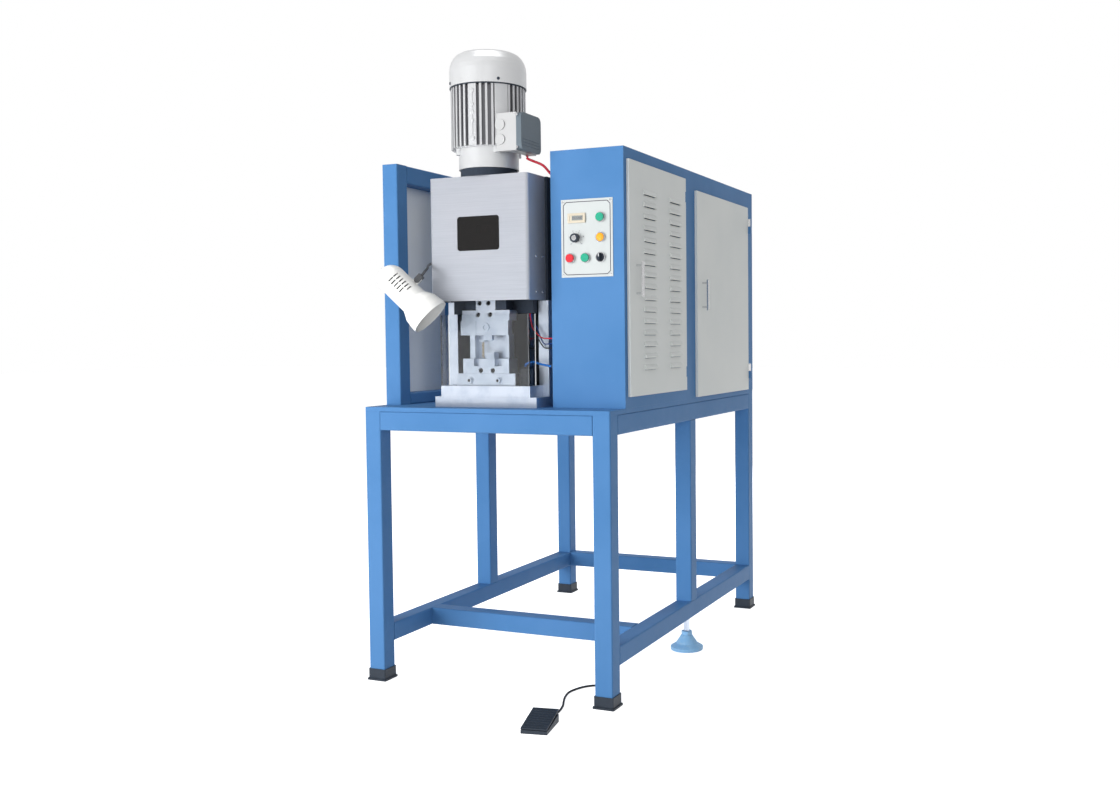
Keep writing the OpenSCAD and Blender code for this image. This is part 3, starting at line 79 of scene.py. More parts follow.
# Foot switch's cord: a round black rubber lead, 6 mm thick, that lies on the floor in one
# loose bend. It leaves the foot switch's strain relief, and climbs behind the front leg into
# a grommet. Its way out of the foot switch is measured from the foot switch's own middle.
PEDAL_PLACE, PEDAL_TURN = Vector((625.5, -178, 0)), math.radians(10)
CORD_EXIT, CORD_AHEAD = (12, 56, 9), (12, 62, 9)
CORD_RADIUS = 3.0
CORD_WAY = [(625, -106, 7), (622, -84, 4), (617, -52, 3), (608, -18, 3), (592, 20, 3),
            (580, 54, 3), (574, 87, 3), (579, 118, 3), (592, 147, 3), (616, 168, 3),
            (648, 168, 4), (676, 146, 10), (698, 116, 26), (711, 88, 46), (715, 66, 58),
            (715, 59, 60), (715, 53, 60)]


class Value:
    """A shader socket that sums and products can be written with."""

    def __init__(self, look, socket):
        self.look, self.socket = look, socket

    def math(self, operation, *others):
        return self.look.node("Math", {"operation": operation}, [self, *others])

    def __add__(self, other):
        return self.math("ADD", other)

    def __sub__(self, other):
        return self.math("SUBTRACT", other)

    def __mul__(self, other):
        return self.math("MULTIPLY", other)

    def __rsub__(self, other):
        return self.look.node("Math", {"operation": "SUBTRACT"}, [other, self])

    __radd__ = __add__
    __rmul__ = __mul__

    def between(self, low, high):
        """0 below low, 1 above high, and smooth between them."""
        settings = {"interpolation_type": "SMOOTHSTEP"}
        values = {"Value": self, "From Min": low, "From Max": high}
        return self.look.node("MapRange", settings, values)


class Look:
    """A finish made of shader nodes, with one Principled shader at its end, in metres."""

    def __init__(self, name, **constants):
        self.material = bpy.data.materials.new(name)
        self.material.use_nodes = True
        self.tree = self.material.node_tree
        self.shader = self.tree.nodes["Principled BSDF"]
        for key, value in constants.items():
            self.shader.inputs[key.replace("_", " ")].default_value = value
        self.place = self.node("TexCoord", {}, {}, "Object")

    def join(self, socket, value):
        """Links a shader value to a socket, or writes a plain number or colour into it."""
        if isinstance(value, Value):
            self.tree.links.new(value.socket, socket)
        elif value is not None:
            socket.default_value = value

    def node(self, kind, settings, values, out=0):
        """Adds a node: its settings first, then the values or links of its sockets."""
        made = self.tree.nodes.new("ShaderNode" + kind)
        for key, value in settings.items():
            setattr(made, key, value)
        pairs = values.items() if isinstance(values, dict) else enumerate(values)
        for key, value in pairs:
            self.join(made.inputs[key], value)
        return Value(self, made.outputs[out])

    def mix(self, share, first, second):
        """A colour between two others."""
        pair = [(*c, 1) if isinstance(c, tuple) else c for c in (first, second)]
        return self.node("Mix", {"data_type": "RGBA"}, {0: share, 6: pair[0], 7: pair[1]}, 2)

    def stretched(self, scale):
        """The object's own coordinates, scaled along each axis."""
        return self.node("Mapping", {}, {0: self.place, "Scale": scale})

    def along(self, axis):
        """How far a point lies along one of the object's own axes, in metres."""
        return self.node("SeparateXYZ", {}, [self.place], axis)

    def noise(self, scale, detail=2.0, rough=0.5, coords=None):
        """A soft random pattern, with about scale patches to the metre."""
        values = {"Vector": coords or self.place, "Scale": scale, "Detail": detail,
                  "Roughness": rough}
        return self.node("TexNoise", {}, values)

    def end(self, colour, rough=None, height=None, depth=0.0002, edge=None):
        """Joins colour and roughness, rounds the edges by edge metres and adds a bump."""
        if isinstance(colour, tuple):
            colour = (*colour, 1)
        self.join(self.shader.inputs["Base Color"], colour)
        self.join(self.shader.inputs["Roughness"], rough)
        normal = self.node("Bevel", {"samples": 4}, {"Radius": edge}) if edge else None
        if height is not None:
            values = {"Height": height, "Distance": depth, "Normal": normal}
            normal = self.node("Bump", {}, values)
        self.join(self.shader.inputs["Normal"], normal)
        return self


def from_pedal(x, y, z):
    """A point of the foot switch, measured from its middle."""
    return PEDAL_PLACE + Matrix.Rotation(PEDAL_TURN, 3, "Z") @ Vector((x, y, z))


def smooth_way(points, steps):
    """Points on a smooth curve through the given ones."""
    points = [Vector(p) for p in points]
    way = []
    for i in range(len(points) - 1):
        a, b, c, d = (points[max(0, min(i + k, len(points) - 1))] for k in (-1, 0, 1, 2))
        for k in range(steps):
            t = k / steps
            way.append(0.5 * (2 * b + (c - a) * t + (2 * a - 5 * b + 4 * c - d) * t * t
                              + (3 * b - a - 3 * c + d) * t * t * t))
    return way + [points[-1]]


def lead(name, points, radius, steps=6):
    """A cord as a curve of one open spline, with its way and its real length in metres."""
    way = [at(*p) for p in smooth_way(points, steps)]
    curve = bpy.data.curves.new(name, "CURVE")
    curve.dimensions = "3D"
    curve.bevel_depth = radius / 1000
    curve.bevel_resolution = 4
    curve.use_fill_caps = True
    line = curve.splines.new("POLY")
    line.points.add(len(way) - 1)
    for point, place in zip(line.points, way):
        point.co = (*place, 1)
        point.radius = 1
    piece = bpy.data.objects.new(name, curve)
    bpy.context.scene.collection.objects.link(piece)
    return piece, way, sum((b - a).length for a, b in zip(way, way[1:]))


rubber = Look("cord_rubber", Specular_IOR_Level=0.35)
rubber_grain = rubber.noise(900, 3)
rubber_black = rubber.mix(rubber.noise(60), (0.012, 0.013, 0.016), (0.028, 0.03, 0.035))
rubber.end(colour=rubber_black, rough=0.5 + rubber_grain * 0.2, height=rubber_grain,
           depth=0.0001)

cord_points = [tuple(from_pedal(*CORD_EXIT)), tuple(from_pedal(*CORD_AHEAD)), *CORD_WAY]
lifted = [(p.x, p.y, max(p.z, CORD_RADIUS)) for p in smooth_way(cord_points, 3)]
pedal_cord, cord_line, cord_length = lead("pedal_lead", lifted, CORD_RADIUS, steps=2)
pedal_cord.data.materials.append(rubber.material)
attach(pedal_cord, "machine")
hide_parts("pedal_cord")

# Stage: a plain white floor that keeps the object's shadow, and white all round.
# Four soft panels of light stand at the front left, at the front right, behind and overhead.
# Its sizes and places are in metres.
FLOOR_SIZE, FLOOR_DROP = 60, 0.0003
FLOOR_GLOW = 0.85
WORLD_LIGHT, WORLD_MIRRORED = 0.28, 0.7
bpy.ops.object.select_all(action="DESELECT")
bpy.ops.mesh.primitive_plane_add(size=FLOOR_SIZE, location=(0, 0, -FLOOR_DROP))
floor = bpy.context.object
floor.name = "floor"
floor_look = Look("floor_white", Roughness=0.7, Specular_IOR_Level=0.1)
floor_look.end(colour=(0.82, 0.82, 0.82))
seen = floor_look.node("LightPath", {}, {}, "Is Camera Ray")
seen = seen + floor_look.node("LightPath", {}, {}, "Is Glossy Ray")
seen = (seen + floor_look.node("LightPath", {}, {}, "Is Transmission Ray")).math("MINIMUM", 1.0)
floor_look.join(floor_look.shader.inputs["Emission Color"], (1, 1, 1, 1))
floor_look.join(floor_look.shader.inputs["Emission Strength"], seen * FLOOR_GLOW)
floor.data.materials.append(floor_look.material)

world = bpy.data.worlds.new("studio")
bpy.context.scene.world = world
world.use_nodes = True
tree = world.node_tree
paths = tree.nodes.new("ShaderNodeLightPath")
straight = tree.nodes.new("ShaderNodeMath")
straight.operation = "MAXIMUM"
tree.links.new(paths.outputs["Is Camera Ray"], straight.inputs[0])
tree.links.new(paths.outputs["Is Transmission Ray"], straight.inputs[1])
glossy = tree.nodes.new("ShaderNodeMapRange")
tree.links.new(paths.outputs["Is Glossy Ray"], glossy.inputs["Value"])
glossy.inputs["To Min"].default_value = WORLD_LIGHT
glossy.inputs["To Max"].default_value = WORLD_MIRRORED
strength = tree.nodes.new("ShaderNodeMath")
strength.operation = "MAXIMUM"
tree.links.new(straight.outputs[0], strength.inputs[0])
tree.links.new(glossy.outputs[0], strength.inputs[1])
tree.links.new(strength.outputs[0], tree.nodes["Background"].inputs["Strength"])
tree.nodes["Background"].inputs["Color"].default_value = (1, 1, 1, 1)


def light_panel(name, place, target, size, power, mirrored=True):
    """A soft square panel of light that faces a point, seen in shiny pieces or not."""
    data = bpy.data.lights.new(name, "AREA")
    data.size, data.energy = size, power
    panel = bpy.data.objects.new(name, data)
    bpy.context.scene.collection.objects.link(panel)
    panel.location = place
    panel.rotation_euler = (Vector(target) - Vector(place)).to_track_quat("-Z", "Y").to_euler()
    panel.visible_glossy = panel.visible_transmission = mirrored


light_panel("front_panel", (-2.4, -4.8, 1.5), (0, -0.2, 0.8), size=3.4, power=330,
            mirrored=False)
light_panel("right_panel", (2.6, -4.4, 2.0), (0.1, 0, 1.0), size=2.2, power=50,
            mirrored=False)
light_panel("back_panel", (0.4, 4.6, 1.8), (-0.3, 0, 1.1), size=2.0, power=170,
            mirrored=False)
light_panel("top_panel", (0.2, -0.6, 4.4), (0, 0, 1.0), size=2.4, power=30)

# Frame: welded square steel tube with a plate on top, sprayed with a satin blue enamel.
# The spray leaves a fine orange peel, slightly uneven colour, and paler dusty specks.


def dress(look, *names):
    """Gives CAD nodes a finish."""
    for name in names:
        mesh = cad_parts[name].data
        mesh.materials.clear()
        mesh.materials.append(look.material)


enamel = Look("frame_enamel", Specular_IOR_Level=0.15)
peel = enamel.noise(420, 2)
enamel_cloud = enamel.noise(3.2, 3, 0.6)
dust = enamel.noise(38, 4, 0.65)
blue = enamel.mix(enamel_cloud.between(0.3, 0.7), (0.062, 0.178, 0.385), (0.076, 0.20, 0.42))
blue = enamel.mix(dust.between(0.62, 0.8) * 0.25, blue, (0.10, 0.24, 0.46))
enamel.end(colour=blue, rough=0.42 + dust * 0.14, height=peel, depth=0.00012, edge=0.0014)
dress(enamel, "table_legs", "table_rails", "table_top", "side_stretchers", "cross_stretchers",
      "cabinet_front", "cabinet_side_frame", "cabinet_shell", "hinge_frame_halves",
      "guard_posts", "guard_rails")

# Doors: folded sheet steel in a grey-beige enamel with a fine texture.
# One has louvres pressed out of its sheet, and the other is plain.
beige = Look("door_enamel", Specular_IOR_Level=0.3)
door_cloud = beige.noise(2.1, 3, 0.6)
door_grain = beige.noise(650, 2)
door_tone = beige.mix(door_cloud.between(0.3, 0.7), (0.70, 0.735, 0.73), (0.76, 0.785, 0.775))
beige.end(colour=door_tone, rough=0.42 + door_cloud * 0.1, height=door_grain, depth=0.00008,
          edge=0.0008)
dress(beige, "louvred_door", "plain_door")

# Guard panel: a paler sheet of enamelled steel, faintly clouded.
# It fills the frame of tubes that stands at the machine's left.
pale_sheet = Look("guard_sheet", Specular_IOR_Level=0.3)
sheet_cloud = pale_sheet.noise(4, 3)
sheet_tone = pale_sheet.mix(sheet_cloud, (0.80, 0.82, 0.83), (0.88, 0.90, 0.90))
pale_sheet.end(colour=sheet_tone, rough=0.4 + sheet_cloud * 0.15, height=sheet_cloud,
               depth=0.0002, edge=0.0008)
dress(pale_sheet, "guard_panel")

# Stainless cover: sheet steel brushed along X, bent at the sides, and screwed to the columns.
# The brushing shows as fine level streaks in its gloss. What lies behind the sheet is given
# painted shade, darker from a little above its lower edge.
DARK_FROM, DARK_BY = 0.004, 0.014
cover_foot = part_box("press_cover")[0].z
behind_cover = (cover_foot + DARK_FROM, cover_foot + DARK_BY)
brushed = Look("brushed_stainless", Metallic=0.7)
streak = brushed.noise(1.0, 3, 0.6, brushed.stretched((6, 900, 900)))
painted_sheen = brushed.noise(2.4, 2)
cover_tone = brushed.mix(streak.between(0.3, 0.7), (0.42, 0.445, 0.50), (0.49, 0.515, 0.57))
# Lighter broad patches of painted highlight in the brushed sheet.
cover_tone = brushed.mix(painted_sheen.between(0.35, 0.7) * 0.4, cover_tone, (0.56, 0.56, 0.60))
brushed.end(colour=cover_tone, rough=0.36 + streak * 0.16, height=streak, depth=0.00006,
            edge=0.0006)
dress(brushed, "press_cover")

# Machined steel: ground plates, columns, ram and applicator, bright and a little blue.
# Grinding leaves fine lines, and oil leaves soft patches in the gloss.
ground = Look("ground_steel", Metallic=1.0)
grind = ground.noise(1.0, 3, 0.6, ground.stretched((25, 700, 700)))
oil = ground.noise(26, 3, 0.6)
# Painted shade: the steel behind the cover turns near black from a little above the cover's
# foot.
painted_shade_behind_cover = ground.along("Z").between(*behind_cover)
steel = ground.mix(oil.between(0.35, 0.75), (0.66, 0.72, 0.82), (0.56, 0.63, 0.74))
steel = ground.mix(painted_shade_behind_cover, steel, (0.05, 0.045, 0.045))
ground.end(colour=steel, rough=0.3 + grind * 0.18 + oil * 0.08, height=grind, depth=0.00008,
           edge=0.0007)
dress(ground, "bed_lower", "bed_upper", "columns", "ram", "clamp_block", "applicator_frame",
      "applicator_slide", "crimp_anvil", "levelling_stud")

# Cover's screws, handles, hinges and switch bodies: bright plated metal.
# Hands and tools leave small scratches in the plating.
plated = Look("bright_plate", Metallic=1.0)
scratch = plated.noise(1.0, 4, 0.7, plated.stretched((300, 300, 40)))
plating = plated.mix(scratch, (0.78, 0.78, 0.79), (0.66, 0.67, 0.69))
plated.end(colour=plating, rough=0.16 + scratch * 0.16, height=scratch, depth=0.00004,
           edge=0.0005)
dress(plated, "cover_screws", "louvred_handle", "plain_handle", "hinge_door_halves",
      "switch_bodies")

# Black castings: the head on the columns and the ram's guide.
# They are cast iron, rough from the sand, under a dull black paint.
casting = Look("black_casting", Specular_IOR_Level=0.4)
sand = casting.noise(210, 4, 0.7)
black_paint = casting.mix(sand.between(0.3, 0.8), (0.012, 0.018, 0.030), (0.025, 0.036, 0.055))
casting.end(colour=black_paint, rough=0.45 + sand * 0.25, height=sand, depth=0.0004, edge=0.001)
dress(casting, "head", "ram_guide")

# Crankshaft: a casting with a dark red primer, that turns in the head.
# It is dark and shiny with grease in places.
red_iron = Look("red_casting", Specular_IOR_Level=0.5)
grease = red_iron.noise(45, 4, 0.65)
primer = red_iron.mix(grease.between(0.45, 0.7), (0.16, 0.03, 0.022), (0.035, 0.014, 0.012))
red_iron.end(colour=primer, rough=0.6 - grease * 0.35, height=grease, depth=0.0003, edge=0.0008)
dress(red_iron, "crankshaft")

# Motor: die-cast alloy with a silver paint, grainy from the mould, and stood on its flange.
# The grooves between its fins are painted in shade, from the fins' foot upwards. The mounting
# plate in the cabinet has the same silver paint.
FIN_TIP, FIN_ROOT = 0.0995, 0.0935
SHADE_FROM, SHADE_BY = 0.001, 0.003
motor_low, motor_high = reach("motor_body")
MOTOR = ((motor_low.x + motor_high.x) / 2, (motor_low.y + motor_high.y) / 2)
fin_foot = motor_low.z / 1000
alloy = Look("silver_casting", Metallic=0.55)
mould = alloy.noise(260, 3, 0.6)
stain = alloy.noise(9, 3, 0.6)
silver = alloy.mix(stain.between(0.35, 0.75), (0.66, 0.67, 0.68), (0.56, 0.565, 0.585))
from_axis = alloy.node("VectorMath", {"operation": "SUBTRACT"},
                       [alloy.place, tuple(at(*MOTOR, 0))])
from_axis = alloy.node("VectorMath", {"operation": "MULTIPLY"}, [from_axis, (1, 1, 0)])
from_axis = alloy.node("VectorMath", {"operation": "LENGTH"}, [from_axis], "Value")
above_foot = alloy.along("Z").between(fin_foot + SHADE_FROM, fin_foot + SHADE_BY)
# Painted shade in the grooves between the fins, darkest at their roots.
painted_groove_shade = from_axis.between(FIN_TIP, FIN_ROOT) * above_foot
silver = alloy.mix(painted_groove_shade * 0.85, silver, (0.10, 0.10, 0.115))
alloy.end(colour=silver, rough=0.34 + mould * 0.2, height=mould, depth=0.00025, edge=0.001)
dress(alloy, "motor_body", "motor_flange", "component_plate")

# Terminal box: the same casting as the motor's in a smoother paint, bolted to its side.
# Its lid is the outer 16 mm, darkened grey as painted shade of the box's right side.
LID_DEPTH, LID_BLEND = 16, 2
box_low, box_high = reach("terminal_box")
lid_joint = at(box_high.x - LID_DEPTH, 0, 0).x
lidded = Look("box_casting", Metallic=0.3)
speck = lidded.noise(300, 3, 0.6)
# Painted shade: the lid on the box's right side is coloured darker than the rest of the casting.
lid = lidded.along("X").between(lid_joint, lid_joint + LID_BLEND / 1000)
box_grey_and_painted_lid_shade = lidded.mix(lid, (0.50, 0.505, 0.51), (0.13, 0.165, 0.195))
lidded.end(colour=box_grey_and_painted_lid_shade, rough=0.34 + speck * 0.2, height=speck, depth=0.0002, edge=0.001)
dress(lidded, "terminal_box")

# Fan cowl: pressed sheet steel, sprayed silver, brighter than the castings.
# It caps the motor, and is held on by four screws.
cowl_paint = Look("cowl_silver", Metallic=0.6)
spray = cowl_paint.noise(700, 2)
cowl_tone = cowl_paint.mix(cowl_paint.noise(5), (0.70, 0.71, 0.72), (0.77, 0.775, 0.785))
cowl_paint.end(colour=cowl_tone, rough=0.24 + spray * 0.12, height=spray, depth=0.00006,
               edge=0.0006)
dress(cowl_paint, "motor_cowl")

# Rotor: a turned steel shaft inside the motor, with its core, its fan and its pinion.
# The lathe has left fine rings in it.
turned_steel = Look("turned_steel", Metallic=1.0)
rings = turned_steel.noise(1.0, 2, 0.5, turned_steel.stretched((20, 20, 1500)))
rotor_tone = turned_steel.mix(rings, (0.36, 0.36, 0.38), (0.55, 0.55, 0.57))
turned_steel.end(colour=rotor_tone, rough=0.25 + rings * 0.2, height=rings, depth=0.00008)
dress(turned_steel, "rotor")

# Control plate: white enamelled aluminium with a fine satin grain.
# It is screwed to the cabinet's front and carries the switches.
white = Look("white_enamel", Specular_IOR_Level=0.5)
fine = white.noise(500, 2)
plate_tone = white.mix(white.noise(7, 3), (0.47, 0.50, 0.50), (0.52, 0.55, 0.55))
white.end(colour=plate_tone, rough=0.3 + fine * 0.12, height=fine, depth=0.00005, edge=0.0005)
dress(white, "control_plate")

# Lamp shade: a spun aluminium bell, enamelled warm white.
# It tips on the fork at the neck's end.
shade_enamel = Look("shade_enamel", Specular_IOR_Level=0.5)
spun = shade_enamel.noise(30, 2)
shade_tone = shade_enamel.mix(spun, (0.83, 0.83, 0.81), (0.88, 0.88, 0.86))
shade_enamel.end(colour=shade_tone, rough=0.26 + spun * 0.12, height=spun, depth=0.0001)
dress(shade_enamel, "lamp_shade")

# Black plastic: moulded foot caps, knobs, relays, valve, glands and the foot switch.
# It has a leathery grain from the mould.
moulded = Look("black_moulding", Specular_IOR_Level=0.4)
leather = moulded.node("TexVoronoi", {}, {"Vector": moulded.place, "Scale": 700})
plastic = moulded.mix(moulded.noise(35, 3), (0.014, 0.02, 0.03), (0.026, 0.036, 0.052))
moulded.end(colour=plastic, rough=0.42 + leather * 0.2, height=leather, depth=0.0001,
            edge=0.0007)
dress(moulded, "foot_caps", "selector_knob", "speed_knob", "control_gear", "air_valve",
      "cable_glands", "pedal_base", "pedal_treadle")

# Lamp's neck: a dark flexible tube of wound steel strip, with a forged fork at its end.
# The turns of the strip show as fine ridges.
wound = Look("wound_steel", Metallic=0.7)
winding = wound.node("TexWave", {"bands_direction": "Z"},
                     {"Vector": wound.place, "Scale": 160, "Distortion": 0.4})
neck_tone = wound.mix(winding, (0.035, 0.036, 0.04), (0.16, 0.165, 0.18))
wound.end(colour=neck_tone, rough=0.3 + winding * 0.2, height=winding, depth=0.0005)
dress(wound, "lamp_neck")

# Levelling foot: a turned steel disc and nut in a pale blue paint.
# Shoes and brooms have scuffed the paint.
foot_blue = Look("foot_paint", Specular_IOR_Level=0.5)
scuff = foot_blue.noise(70, 4, 0.7)
foot_tone = foot_blue.mix(scuff.between(0.45, 0.75), (0.25, 0.50, 0.78), (0.36, 0.58, 0.80))
foot_blue.end(colour=foot_tone, rough=0.3 + scuff * 0.25, height=scuff, depth=0.0001,
              edge=0.0008)
dress(foot_blue, "levelling_base")

# Buttons, lens, counter case, air hose and motor cable: glossy plastics, each dyed through.
# The melt's flow shows faintly in their colour.


def gloss_moulding(name, deep, pale):
    """A glossy moulded plastic with a faint flow in its colour."""
    look = Look(name, Specular_IOR_Level=0.5)
    flow = look.noise(180, 3)
    return look.end(colour=look.mix(flow, deep, pale), rough=0.16 + flow * 0.12, height=flow,
                    depth=0.00003, edge=0.0006)


dress(gloss_moulding("green_moulding", (0.0, 0.27, 0.16), (0.02, 0.36, 0.23)),
      "start_button", "jog_button")
dress(gloss_moulding("red_moulding", (0.52, 0.008, 0.02), (0.66, 0.02, 0.035)), "stop_button")
dress(gloss_moulding("amber_moulding", (0.86, 0.33, 0.015), (0.95, 0.42, 0.03)), "pilot_lens")
dress(gloss_moulding("hose_moulding", (0.01, 0.16, 0.62), (0.02, 0.22, 0.72)), "air_hose")
dress(gloss_moulding("cable_jacket", (0.55, 0.012, 0.035), (0.68, 0.03, 0.06)), "motor_cable")
dress(gloss_moulding("counter_case", (0.52, 0.46, 0.36), (0.60, 0.54, 0.43)), "counter")

# Spring: bright brass-coated wire, drawn and then wound into a coil.
# It stands on the applicator, under a small lug.
brass = Look("brass_wire", Metallic=1.0)
drawn = brass.noise(900, 2)
brass.end(colour=brass.mix(drawn, (0.62, 0.42, 0.14), (0.78, 0.56, 0.22)),
          rough=0.2 + drawn * 0.15)
dress(brass, "applicator_spring")

# Clear panes: thick acrylic sheet, with a cool edge and fine wipe marks.
# The one in the cover's window is darkened with painted shade, from a little above the cover's
# lower edge.
clear = Look("clear_acrylic", Roughness=0.04, IOR=1.49)
clear.shader.inputs["Transmission Weight"].default_value = 1.0
wipe = clear.noise(1.0, 3, 0.6, clear.stretched((40, 40, 8)))
# Painted shade in the cover's window, for the dark inside of the head behind it.
painted_window_shade = clear.along("Z").between(*behind_cover)
tint = clear.mix(wipe, (0.93, 0.95, 0.965), (0.96, 0.975, 0.98))
clear.end(colour=clear.mix(painted_window_shade, tint, (0.10, 0.075, 0.07)), height=wipe, depth=0.00002)
dress(clear, "clear_panes")

# Plate's printed border: a thin dark line round the whole control plate, its corners cut.
# It is screen-printed in a purplish black ink.
BORDER_INSET, BORDER_CORNER, BORDER_LINE = 6, 9, 1.9
INK_PROUD, INK_THICK = 0.15, 0.2
plate_low, plate_high = reach("control_plate")
PLATE_FACE = plate_low.y
UPRIGHT = (math.radians(90), 0, 0)


def settle(piece, name, look, body, angle=35):
    """Names a finished piece, puts its place in its mesh, and says what it rides on."""
    bpy.ops.object.select_all(action="DESELECT")
    piece.select_set(True)
    bpy.context.view_layer.objects.active = piece
    bpy.ops.object.transform_apply(location=True, rotation=True, scale=True)
    bpy.ops.object.shade_smooth_by_angle(angle=math.radians(angle))
    piece.name = piece.data.name = name
    piece.data.materials.clear()
    piece.data.materials.append(look.material)
    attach(piece, body)


ink = Look("dark_ink", Specular_IOR_Level=0.3)
ink_grain = ink.noise(800, 2)
ink.end(colour=ink.mix(ink_grain, (0.035, 0.028, 0.045), (0.07, 0.06, 0.085)),
        rough=0.5 + ink_grain * 0.2)
bpy.ops.object.select_all(action="DESELECT")
border_middle = (plate_low + plate_high) / 2
bpy.ops.mesh.primitive_plane_add(
    size=1, location=at(border_middle.x, PLATE_FACE - INK_PROUD, border_middle.z),
    rotation=UPRIGHT)
border = bpy.context.object
border.scale = ((plate_high.x - plate_low.x - 2 * BORDER_INSET) / 1000,
                (plate_high.z - plate_low.z - 2 * BORDER_INSET) / 1000, 1)
bpy.ops.object.transform_apply(location=True, rotation=True, scale=True)
bpy.ops.object.mode_set(mode="EDIT")
bpy.ops.mesh.select_all(action="SELECT")
bpy.ops.mesh.bevel(offset=BORDER_CORNER / 1000, segments=1, affect="VERTICES")
bpy.ops.mesh.select_all(action="SELECT")
bpy.ops.mesh.inset(thickness=BORDER_LINE / 1000)
bpy.ops.mesh.delete(type="ONLY_FACE")
bpy.ops.object.mode_set(mode="OBJECT")
thick = border.modifiers.new("thick", "SOLIDIFY")
thick.thickness, thick.offset = INK_THICK / 1000, 0
bpy.ops.object.modifier_apply(modifier="thick")
settle(border, "plate_border", ink, "machine")

# Plate's screws: four small domed screws of plated steel, turned from bar.
# They hold the plate on by its corners.
PLATE_SCREW_INSET = 6.5
PLATE_SCREW = [(3.2, 0), (3.2, 0.7), (2.4, 1.5), (0.7, 1.8)]
TO_FRONT, TO_REAR, TO_TOP = (0, -1, 0), (0, 1, 0), (0, 0, 1)


def turned(rings, place, aim, sides):
    """A round piece built up ring by ring from radii and heights in millimetres, then aimed."""
    bpy.ops.object.select_all(action="DESELECT")
    radius, height = rings[0]
    bpy.ops.mesh.primitive_circle_add(vertices=sides, radius=radius / 1000, fill_type="NGON",
                                      location=(0, 0, 0))
    bpy.ops.object.mode_set(mode="EDIT")
    bpy.ops.mesh.select_all(action="SELECT")
    bpy.ops.transform.translate(value=(0, 0, height / 1000))
    for next_radius, next_height in rings[1:]:
        rise = (0, 0, (next_height - height) / 1000)
        bpy.ops.mesh.extrude_region_move(TRANSFORM_OT_translate={"value": rise})
        share = next_radius / radius
        bpy.ops.transform.resize(value=(share, share, 1),
                                 center_override=(0, 0, next_height / 1000))
        radius, height = next_radius, next_height
    bpy.ops.mesh.select_all(action="SELECT")
    bpy.ops.mesh.normals_make_consistent(inside=False)
    bpy.ops.object.mode_set(mode="OBJECT")
    piece = bpy.context.object
    piece.rotation_mode = "QUATERNION"
    piece.rotation_quaternion = Vector(aim).to_track_quat("Z", "Y")
    piece.location = place
    bpy.ops.object.transform_apply(location=True, rotation=True, scale=True)
    return piece


def joined(pieces):
    """Several meshes made one."""
    bpy.ops.object.select_all(action="DESELECT")
    for piece in pieces:
        piece.select_set(True)
    bpy.context.view_layer.objects.active = pieces[0]
    if len(pieces) > 1:
        bpy.ops.object.join()
    return bpy.context.object


heads = [turned(PLATE_SCREW, at(x, PLATE_FACE, z), TO_FRONT, sides=20)
         for x in (plate_low.x + PLATE_SCREW_INSET, plate_high.x - PLATE_SCREW_INSET)
         for z in (plate_low.z + PLATE_SCREW_INSET, plate_high.z - PLATE_SCREW_INSET)]
settle(joined(heads), "plate_screws", plated, "machine")

# Speed dial: eleven ticks round the speed knob, and the even numbers from 0 to 10.
# They are printed on the plate in the border's ink, clockwise from the lower left.
DIAL = (604.5, 1205)
DIAL_MARKS, DIAL_START, DIAL_STEP = 11, 225, 27
TICK_RADIUS, TICK_LENGTH, TICK_WIDTH, TICK_PROUD = 16.6, 3.2, 0.7, 0.2
NUMBER_RADIUS, NUMBER_PROUD = 21, 0.12
NUMBER_SIZE, NUMBER_DEPTH = 5.2, 0.1


def slab(low, high, round_by, segments=2):
    """A flat or square piece between two corners in the table's millimetres, edges rounded."""
    bpy.ops.object.select_all(action="DESELECT")
    a, b = at(*low), at(*high)
    bpy.ops.mesh.primitive_cube_add(size=1, location=(a + b) / 2)
    piece = bpy.context.object
    piece.scale = b - a
    bpy.ops.object.transform_apply(location=True, rotation=True, scale=True)
    bpy.ops.object.mode_set(mode="EDIT")
    bpy.ops.mesh.select_all(action="SELECT")
    bpy.ops.mesh.bevel(offset=round_by / 1000, segments=segments)
    bpy.ops.object.mode_set(mode="OBJECT")
    return piece


def lettering(text, place, size, depth, rests="CENTER"):
    """Figures that face the front, as a mesh, with their middle or their foot at a place."""
    bpy.ops.object.select_all(action="DESELECT")
    bpy.ops.object.text_add(location=place, rotation=UPRIGHT)
    figures = bpy.context.object.data
    figures.body, figures.size, figures.extrude = text, size / 1000, depth / 1000
    figures.align_x, figures.align_y = "CENTER", rests
    bpy.ops.object.convert(target="MESH")
    bpy.ops.object.transform_apply(location=True, rotation=True, scale=True)
    return bpy.context.object


def round_dial(i, radius):
    """The turn of one of the dial's marks, and its place across and up."""
    turn = math.radians(DIAL_START - DIAL_STEP * i)
    return turn, DIAL[0] + radius * math.cos(turn), DIAL[1] + radius * math.sin(turn)


marks = []
for i in range(DIAL_MARKS):
    turn, x, z = round_dial(i, TICK_RADIUS)
    tick = slab((x - TICK_LENGTH / 2, PLATE_FACE - TICK_PROUD, z - TICK_WIDTH / 2),
                (x + TICK_LENGTH / 2, PLATE_FACE, z + TICK_WIDTH / 2), round_by=0.08, segments=1)
    middle = at(x, PLATE_FACE, z)
    tick.data.transform(Matrix.Translation(middle) @ Matrix.Rotation(-turn, 4, "Y")
                        @ Matrix.Translation(-middle))
    marks.append(tick)
for i in range(0, DIAL_MARKS, 2):
    x, z = round_dial(i, NUMBER_RADIUS)[1:]
    marks.append(lettering(str(i), at(x, PLATE_FACE - NUMBER_PROUD, z), NUMBER_SIZE,
                           NUMBER_DEPTH))
settle(joined(marks), "dial_marks", ink, "machine")

